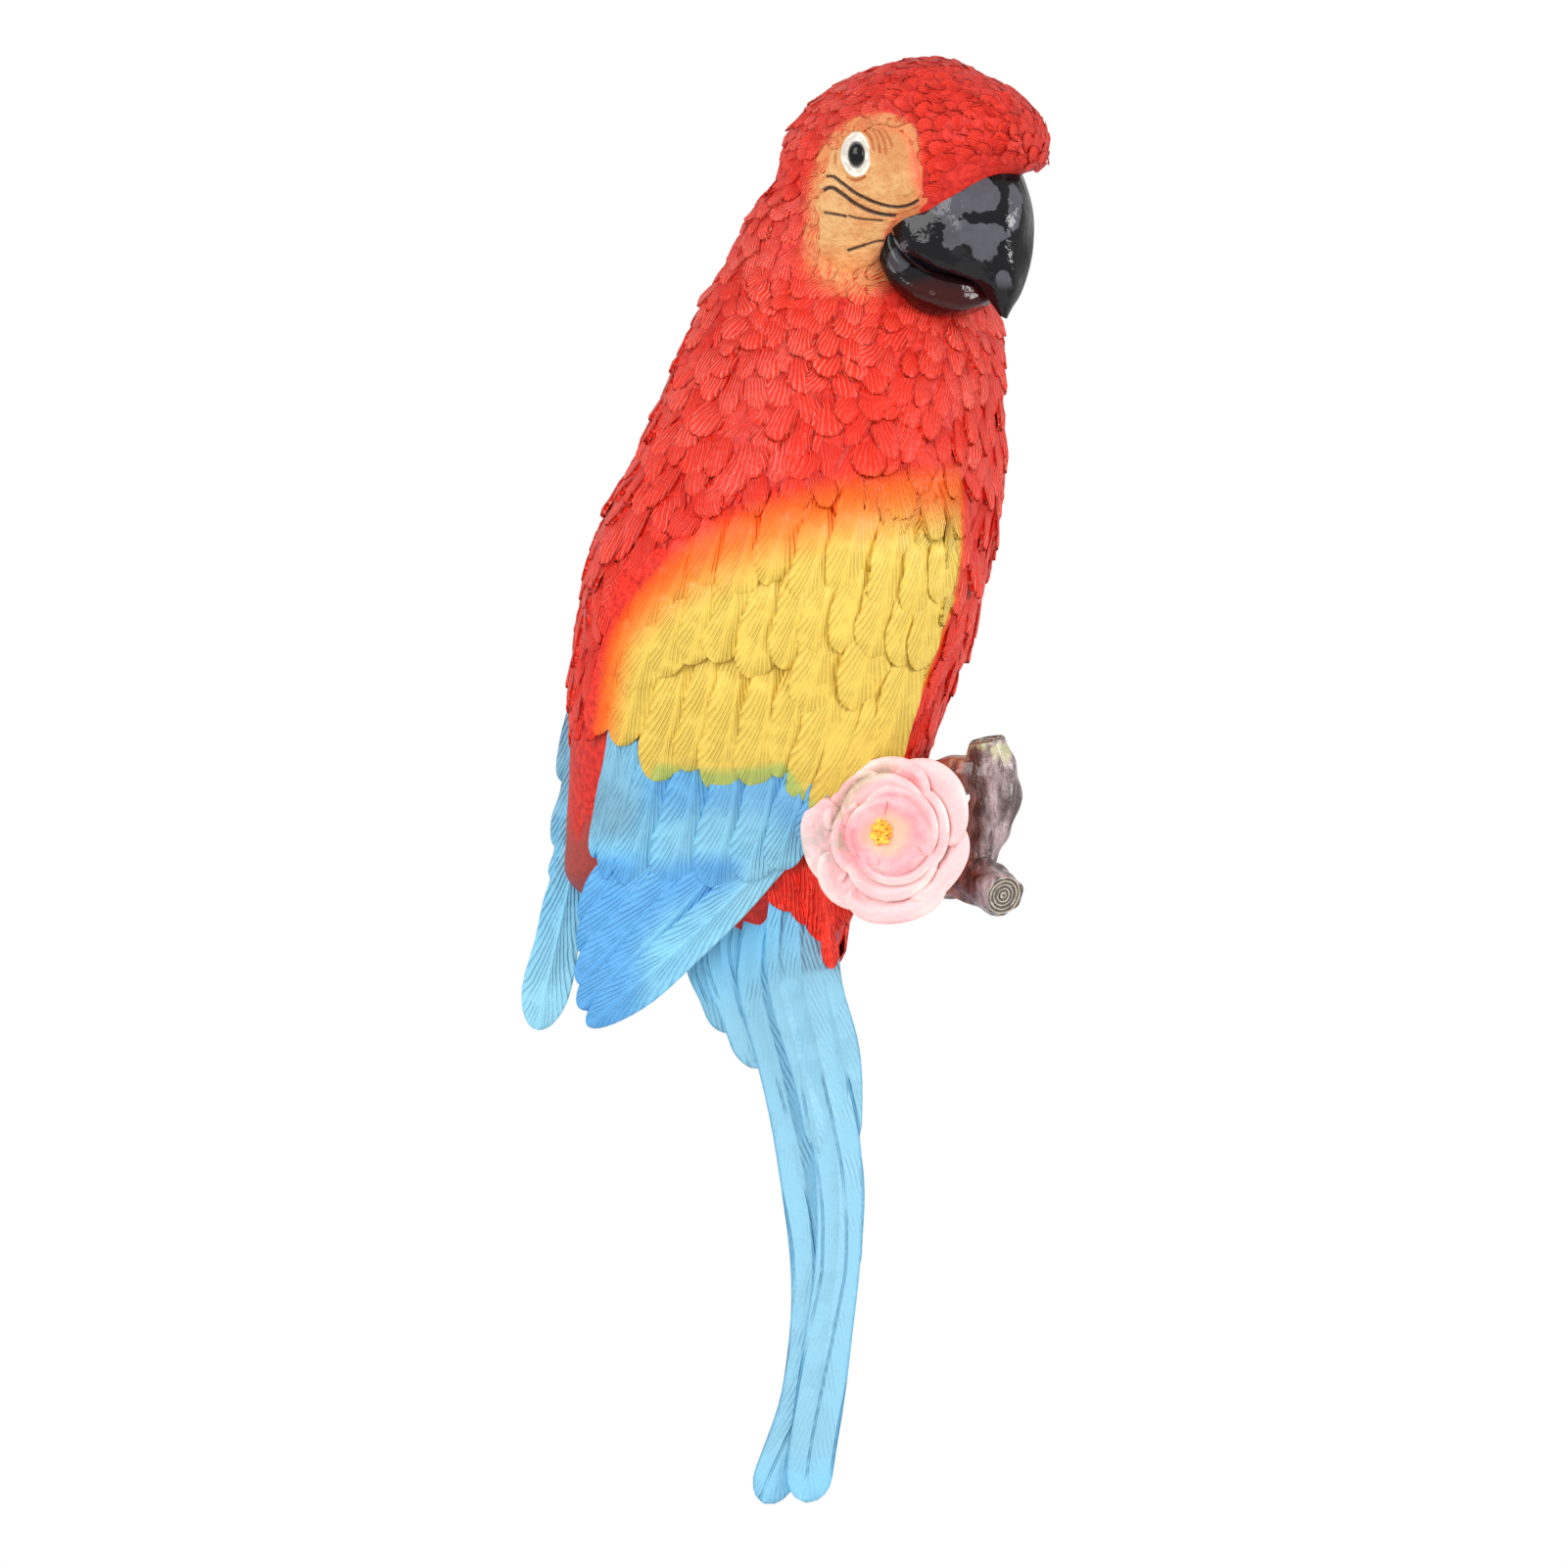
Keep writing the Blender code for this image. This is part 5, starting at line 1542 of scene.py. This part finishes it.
def limb(name, stations, seed):
    """A length of branch through the given places, its bark in lumps and furrows and its end sawn."""
    rows = along([(*place, radius) for place, radius in stations], 12 * len(stations))
    centre, radius = rows[:, :3], rows[:, 3]
    run = unit(np.gradient(centre, axis=0))
    side = np.cross(run[0], (0.3, 0.2, 1.0))
    angle = np.linspace(0, 2 * math.pi, LIMB_SIDES, endpoint=False)
    far = np.concatenate([[0], np.cumsum(np.linalg.norm(np.diff(centre, axis=0), axis=1))])
    rings = []
    for i in range(len(centre)):
        side = side - run[i] * side.dot(run[i])
        side /= np.linalg.norm(side)
        other = np.cross(run[i], side)
        lump = BARK_LUMP * np.sin(3 * angle + 0.25 * far[i] + seed)
        lump += BARK_LUMP * np.sin(7 * angle - 0.5 * far[i] + 2 * seed)
        lump += BARK_LUMP * np.sin(0.9 * far[i] + 2 * np.sin(angle + seed))
        reach = radius[i] * (1 + lump)
        across, up = (reach * np.cos(angle))[:, None], (reach * np.sin(angle))[:, None]
        rings.append(centre[i] + side * across + other * up)
    for number, share in enumerate(SAWN_RINGS):
        groove = run[-1] * (0.25 - 0.35 * (number % 2))
        rings.append(centre[-1] + (rings[len(centre) - 1] - centre[-1]) * share + groove)
    end = np.linalg.norm(np.array(rings) - centre[-1], axis=2)
    sawn = np.arange(len(rings)) >= len(centre)
    obj = closed_skin(name, np.array(rings))
    for key, numbers in (("sawn", np.repeat(sawn, LIMB_SIDES)), ("ring", end.ravel())):
        numbers = np.concatenate([numbers, [0, sawn[-1] if key == "sawn" else 0.0]])
        stored = obj.data.attributes.new(key, "FLOAT", "POINT")
        stored.data.foreach_set("value", numbers.astype(np.float32))
    return obj


def bark_finish():
    finish = Finish("brown_bark_varnish", Specular_IOR_Level=0.6, Coat_Weight=0.5, Coat_Roughness=0.12)
    upright = finish.add("ShaderNodeMapping", sockets={"Vector": finish.place(), "Scale": (1.0, 1.0, 0.28)})
    grain = finish.noise(340.0, 6.0, upright)
    blotch = finish.noise(70.0, 3.0)
    x, z = (finish.axis(k) for k in "XZ")
    # Light lilac-grey along the grain streaks: carved grain, partly a painted highlight
    brown = finish.mix(finish.ramp(grain, 0.36, 0.66), BARK_DARK, BARK_GRAIN_HIGHLIGHT)
    rust = finish.mix(finish.ramp(grain, 0.4, 0.6), RUST_DARK, RUST_LIGHT)
    left = finish.ramp(x + (blotch - 0.5) * 0.02, 0.042, 0.036)
    warm = finish.mix(left * 0.85, brown, rust)
    lichen = finish.ramp(z + (grain - 0.5) * 0.02, -0.038, -0.033) * finish.ramp(x, 0.032, 0.038)
    dabbed = finish.mix(lichen * finish.ramp(finish.noise(420.0), 0.38, 0.56) * 0.85, warm, LICHEN)
    sawn = finish.stored("sawn")
    growth = finish.wave(finish.stored("ring") * 7.5 + blotch * 6.0)
    end = finish.mix(finish.ramp(growth, -0.3, 0.5), SAWN_DARK, SAWN_LIGHT)
    finish.feed("Base Color", finish.mix(finish.ramp(sawn, 0.5, 0.9) * 0.9, dabbed, end))
    finish.emboss(grain * 2.2 + finish.noise(900.0, 4.0) * 0.6 + growth * sawn * 0.3, 0.8)
    finish.feed("Roughness", 0.16 + grain * 0.25)
    return finish


bark = bark_finish()
for seed, (name, stations) in enumerate(BRANCH_LIMBS):
    piece = limb(name, stations, seed)
    place_piece(cut_back(piece) if name == "perch" else piece, bark)

# Flower
# An open rose-like flower: cupped, rolled petals round a yellow knot of stamens, pale pink with cream rims
# and olive grey along a fold at the upper left.
FLOWER_CENTRE = (21.2, -43.0, -51.8)
FLOWER_LEAN_X = math.radians(6.0)
FLOWER_LEAN_Z = math.radians(-8.0)
# Petals: angle, half spread, inner reach, outer reach, base height, rim height
PETALS = (
    (80.0, 42.0, 3.0, 16.6, -0.2, 3.2),
    (34.0, 44.0, 3.0, 19.6, 0.0, 3.4),
    (130.0, 46.0, 3.0, 14.8, -0.2, 3.2),
    (188.0, 42.0, 3.0, 17.8, -0.2, 3.0),
    (236.0, 40.0, 3.0, 17.6, -0.4, 3.4),
    (283.0, 46.0, 3.0, 19.4, -0.2, 3.6),
    (334.0, 42.0, 3.0, 18.6, -0.4, 3.4),
    (14.0, 60.0, 2.8, 13.4, 1.6, 4.2),
    (104.0, 66.0, 2.8, 13.0, 2.0, 4.8),
    (190.0, 56.0, 2.8, 12.4, 1.8, 4.4),
    (280.0, 66.0, 2.8, 13.8, 1.6, 4.4),
    (52.0, 84.0, 2.4, 10.8, 2.8, 5.2),
    (172.0, 76.0, 2.4, 9.6, 2.9, 5.3),
    (292.0, 88.0, 2.4, 10.6, 2.6, 5.0),
)
# The inner petals sit a little to the right of the outer ones
INNER_SHIFT = 2.0
BOWL_RADIUS = 8.4
BOWL_FLOOR = 3.2
# Where olive grey lies along a fold, from above the flower's middle round to its left
OLIVE_FOLD = ((1.5, 14.2), (-4.5, 11.2), (-8.4, 6.2), (-10.0, 1.6), (-8.8, -3.0))
# Where the outermost petal is greyish, seen from the flower's middle
GREY_CORNER = (-14.6, -2.6)
PETAL_PINK = pot(238, 152, 160)
PETAL_BLUSH = pot(247, 190, 191)
PETAL_CREAM = pot(252, 236, 224)
PETAL_GOLD = pot(250, 206, 150)
OLIVE_GREY = pot(170, 158, 126)
CORNER_GREY = pot(190, 182, 176)


def flower_place(right, up, out):
    """A place in the leaning flower as a place of the whole ornament."""
    a, b = FLOWER_LEAN_X, FLOWER_LEAN_Z
    x, y, z = right, -out, up
    y, z = y * math.cos(a) - z * math.sin(a), y * math.sin(a) + z * math.cos(a)
    x, y = x * math.cos(b) - y * math.sin(b), x * math.sin(b) + y * math.cos(b)
    return np.stack([FLOWER_CENTRE[0] + x, FLOWER_CENTRE[1] + y, FLOWER_CENTRE[2] + z], axis=-1)


def petal_arrays(angle, spread, inner, outer, base, rim):
    """One cupped petal, wavy at its rolled rim, closed all round."""
    t = np.linspace(0, 1, 18)[:, None]
    b = np.linspace(-1, 1, 29)[None, :]
    turn = np.radians(angle + spread * b * (0.6 + 0.4 * np.sqrt(t)))
    wave = 0.4 * np.sin(3.6 * b + angle) * t**3 + 0.12 * np.sin(9.0 * b + 2 * angle) * t
    notch = 1 - 0.12 * b**2 - 0.10 * b**4 - 0.02 * np.cos(4.0 * b + angle)
    reach = inner + (outer * notch - inner) * t
    height = base + (rim - base) * t**2.0 - 1.3 * fade(0.86, 1.0, t) + wave - 0.55 * b * t
    right = reach * np.cos(turn) + INNER_SHIFT * fade(0.0, 3.0, base)
    up = reach * np.sin(turn)
    thick = 0.8 + 1.8 * (1 - t)
    top = flower_place(right, up, height)
    bottom = flower_place(right, up, height - thick)[:, ::-1]
    ring = np.concatenate([top, bottom], axis=1)
    sides = ring.shape[1]
    values = {
        "run": np.repeat(t.ravel(), sides),
        "reach": np.concatenate([reach, reach[:, ::-1]], axis=1).ravel(),
    }
    faces = ring_faces(len(t), sides, True)
    half = b.shape[1]
    for start in (0, (len(t) - 1) * sides):
        for k in range(half - 1):
            faces.append((start + k, start + k + 1, start + sides - 2 - k, start + sides - 1 - k))
    return ring.reshape(-1, 3), faces, values


def petal_finish():
    finish = Finish("pink_petal_paint", Specular_IOR_Level=0.4)
    run, reach = finish.stored("run"), finish.stored("reach")
    wash = finish.noise(90.0, 3.0)
    fine = finish.noise(600.0, 4.0)
    # Painted shade: deeper pink towards the middle of the cup; the wash also varies it at random
    blush = finish.ramp(wash + fine * 0.3 + (reach - 9.0) * 0.03, 0.4, 0.8)
    pink = finish.mix(blush, PETAL_PINK, PETAL_BLUSH)
    creamy = finish.mix(finish.ramp(run + (wash - 0.5) * 0.4, 0.90, 1.06) * 0.6, pink, PETAL_CREAM)
    golden = finish.mix(finish.ramp(reach + (wash - 0.5) * 6.0, 6.0, 3.0) * 0.5, creamy, PETAL_GOLD)
    # Olive grey along the fold at the upper left
    olive = finish.stored("washed") * finish.ramp(fine + wash * 0.5, 0.55, 0.80)
    olive_greyed = finish.mix(olive * 0.7, golden, OLIVE_GREY)
    # Greyish on the outermost petal at the left
    greyed_corner = finish.stored("corner") * finish.ramp(fine, 0.38, 0.56)
    finish.feed("Base Color", finish.mix(greyed_corner * 0.7, olive_greyed, CORNER_GREY))
    finish.emboss(fine + wash * 2.0, 0.35)
    finish.feed("Roughness", 0.5 - fine * 0.2)
    return finish


def washed_share(points):
    """Olive grey along the fold at the upper left."""
    fold = along(OLIVE_FOLD, 40) + (FLOWER_CENTRE[0], FLOWER_CENTRE[2])
    return fade(2.3, 0.3, apart_from(fold, points[:, 0], points[:, 2]))


def corner_share(points):
    """Greyish paint on the outermost petal at the left."""
    right = points[:, 0] - FLOWER_CENTRE[0] - GREY_CORNER[0]
    up = points[:, 2] - FLOWER_CENTRE[2] - GREY_CORNER[1]
    return fade(1.2, 0.4, np.hypot(right / 5.0, up / 7.0))


petal_paint = petal_finish()
petals = joined("petals", [petal_arrays(*petal) for petal in PETALS])
store(petals, washed=washed_share, corner=corner_share)
place_piece(petals, petal_paint)


def turned_in_flower(name, profile, sides):
    """A round form about the flower's axis, from (radius, height) pairs."""
    angle = np.linspace(0, 2 * math.pi, sides, endpoint=False)[None, :]
    radius, height = (np.array(v)[:, None] for v in zip(*profile))
    right = INNER_SHIFT + radius * np.cos(angle)
    return closed_skin(name, flower_place(right, radius * np.sin(angle), height + 0 * angle))


# Radius and height along the outside of the calyx, then along the inside of the bowl
CALYX_PROFILE = ((7.0, 1.4), (8.6, 0.4), (7.4, -3.0), (4.5, -9.0))
BOWL_PROFILE = (
    (0.6, BOWL_FLOOR),
    (3.0, BOWL_FLOOR - 0.1),
    (6.0, BOWL_FLOOR + 0.4),
    (BOWL_RADIUS, BOWL_FLOOR + 1.4),
    (BOWL_RADIUS, 0.0),
)
place_piece(turned_in_flower("calyx", CALYX_PROFILE, 32), bark)
bowl = turned_in_flower("bowl", BOWL_PROFILE, 48)
store(
    bowl,
    run=lambda p: 0.5 + 0 * p[:, 0],
    reach=lambda p: np.hypot(p[:, 0] - FLOWER_CENTRE[0], p[:, 2] - FLOWER_CENTRE[2]),
)
place_piece(bowl, petal_paint)

# Stamens: a knot of small amber beads, modelled in one lump at the bottom of the bowl
STAMEN_BEADS = 54
STAMEN_SPREAD = 2.1
BEAD_SIDES = 8
# Radius and height of each ring of a bead, as shares of its radius
BEAD_RINGS = ((0.9, -1.2), (1.0, 0.0), (0.7, 0.7), (0.15, 1.0))
# Turn from one bead to the next in radians, which spreads them evenly
BEAD_TURN = 2.4
DEEP_AMBER = pot(244, 168, 50)
PALE_AMBER = pot(253, 212, 84)
stamen_finish = Finish("amber_stamen_paint", Specular_IOR_Level=0.4, Roughness=0.45)
grit = stamen_finish.noise(500.0, 3.0)
amber = stamen_finish.mix(stamen_finish.ramp(grit, 0.4, 0.62), DEEP_AMBER, PALE_AMBER)
stamen_finish.feed("Base Color", amber)
bead_angle = np.linspace(0, 2 * math.pi, BEAD_SIDES, endpoint=False)
bead_points, bead_faces = [], []
for number in range(STAMEN_BEADS):
    away = STAMEN_SPREAD * math.sqrt((number + 0.5) / STAMEN_BEADS)
    turn = number * BEAD_TURN + rng.uniform(-0.3, 0.3)
    radius = rng.uniform(0.40, 0.58)
    lift = BOWL_FLOOR + 0.9 - 0.12 * away**2 + rng.uniform(-0.2, 0.3)
    start = len(bead_points) * BEAD_SIDES
    for share, rise in BEAD_RINGS:
        right = away * math.cos(turn) - 0.2 + radius * share * np.cos(bead_angle)
        up = away * 1.25 * math.sin(turn) + 0.6 + radius * share * np.sin(bead_angle)
        bead_points.append(flower_place(right, up, lift + radius * rise + 0 * right))
    bead_faces += [tuple(start + k for k in face) for face in ring_faces(len(BEAD_RINGS), BEAD_SIDES, True)]
    crown = len(bead_points) * BEAD_SIDES
    bead_faces.append(tuple(range(crown - BEAD_SIDES, crown)))
place_piece(outward(make("stamens", np.concatenate(bead_points), bead_faces)), stamen_finish)

# Studio
# A white sweep, a soft white room and two large lamps; the floor lies below the hanging bird.
PHOTO_PIXEL = 0.2064
PHOTO_SIDE = 1601
# The pixel in which the frame's origin is seen
PHOTO_ORIGIN = (800.0, 600.0)
LENS = 600.0
SENSOR = 36.0
FOCUS_DEPTH = -28.0
FLOOR_DROP = -232.0
FLOOR_SIDE = 260
FLOOR_FRONT = -320
FLOOR_BACK = 110
ROOM_LIGHT = 0.61

frame_middle_x = (PHOTO_SIDE / 2 - PHOTO_ORIGIN[0]) * PHOTO_PIXEL
frame_middle_z = (PHOTO_ORIGIN[1] - PHOTO_SIDE / 2) * PHOTO_PIXEL
camera_data = bpy.data.cameras.new("camera")
camera_data.lens = LENS
camera_data.sensor_width = SENSOR
camera = bpy.data.objects.new("camera", camera_data)
bpy.context.scene.collection.objects.link(camera)
camera.location = (
    frame_middle_x * MM,
    (FOCUS_DEPTH - PHOTO_SIDE * PHOTO_PIXEL * LENS / SENSOR) * MM,
    frame_middle_z * MM,
)
camera.rotation_euler = (math.radians(90.0), 0.0, 0.0)
bpy.context.scene.camera = camera

floor_corners = (
    (-FLOOR_SIDE, FLOOR_FRONT, FLOOR_DROP),
    (FLOOR_SIDE, FLOOR_FRONT, FLOOR_DROP),
    (FLOOR_SIDE, FLOOR_BACK, FLOOR_DROP),
    (-FLOOR_SIDE, FLOOR_BACK, FLOOR_DROP),
)
floor = make("floor", floor_corners, [(0, 1, 2, 3)])
floor_finish = Finish("pale_floor", Roughness=0.9)
floor_finish.feed("Base Color", pot(236, 236, 236))
floor.data.materials.append(floor_finish.material)

world = bpy.data.worlds.new("studio")
bpy.context.scene.world = world
world.use_nodes = True
sky = world.node_tree.nodes["Background"]
light_path = world.node_tree.nodes.new("ShaderNodeLightPath")
seen = world.node_tree.nodes.new("ShaderNodeMath")
seen.operation = "MAXIMUM"
world.node_tree.links.new(light_path.outputs["Is Camera Ray"], seen.inputs[0])
world.node_tree.links.new(light_path.outputs["Is Transmission Ray"], seen.inputs[1])
level = world.node_tree.nodes.new("ShaderNodeMapRange")
level.inputs["To Min"].default_value = ROOM_LIGHT
level.inputs["To Max"].default_value = 1.0
world.node_tree.links.new(seen.outputs[0], level.inputs["Value"])
world.node_tree.links.new(level.outputs["Result"], sky.inputs["Strength"])
sky.inputs["Color"].default_value = (1.0, 1.0, 1.0, 1.0)

# Name, place in metres, size and power of each lamp
LAMP_AIM = Vector((0, -0.02, -0.04))
LAMPS = (
    ("key_lamp", (-0.62, -1.05, 0.36), 0.95, 14.4),
    ("fill_lamp", (1.15, -0.45, 0.12), 0.50, 10.5),
)
for name, place, size, power in LAMPS:
    lamp = bpy.data.lights.new(name, "AREA")
    lamp.size = size
    lamp.energy = power
    stand = bpy.data.objects.new(name, lamp)
    stand.location = place
    stand.rotation_euler = (LAMP_AIM - Vector(place)).to_track_quat("-Z", "Y").to_euler()
    bpy.context.scene.collection.objects.link(stand)
bpy.context.scene.view_settings.view_transform = "Standard"
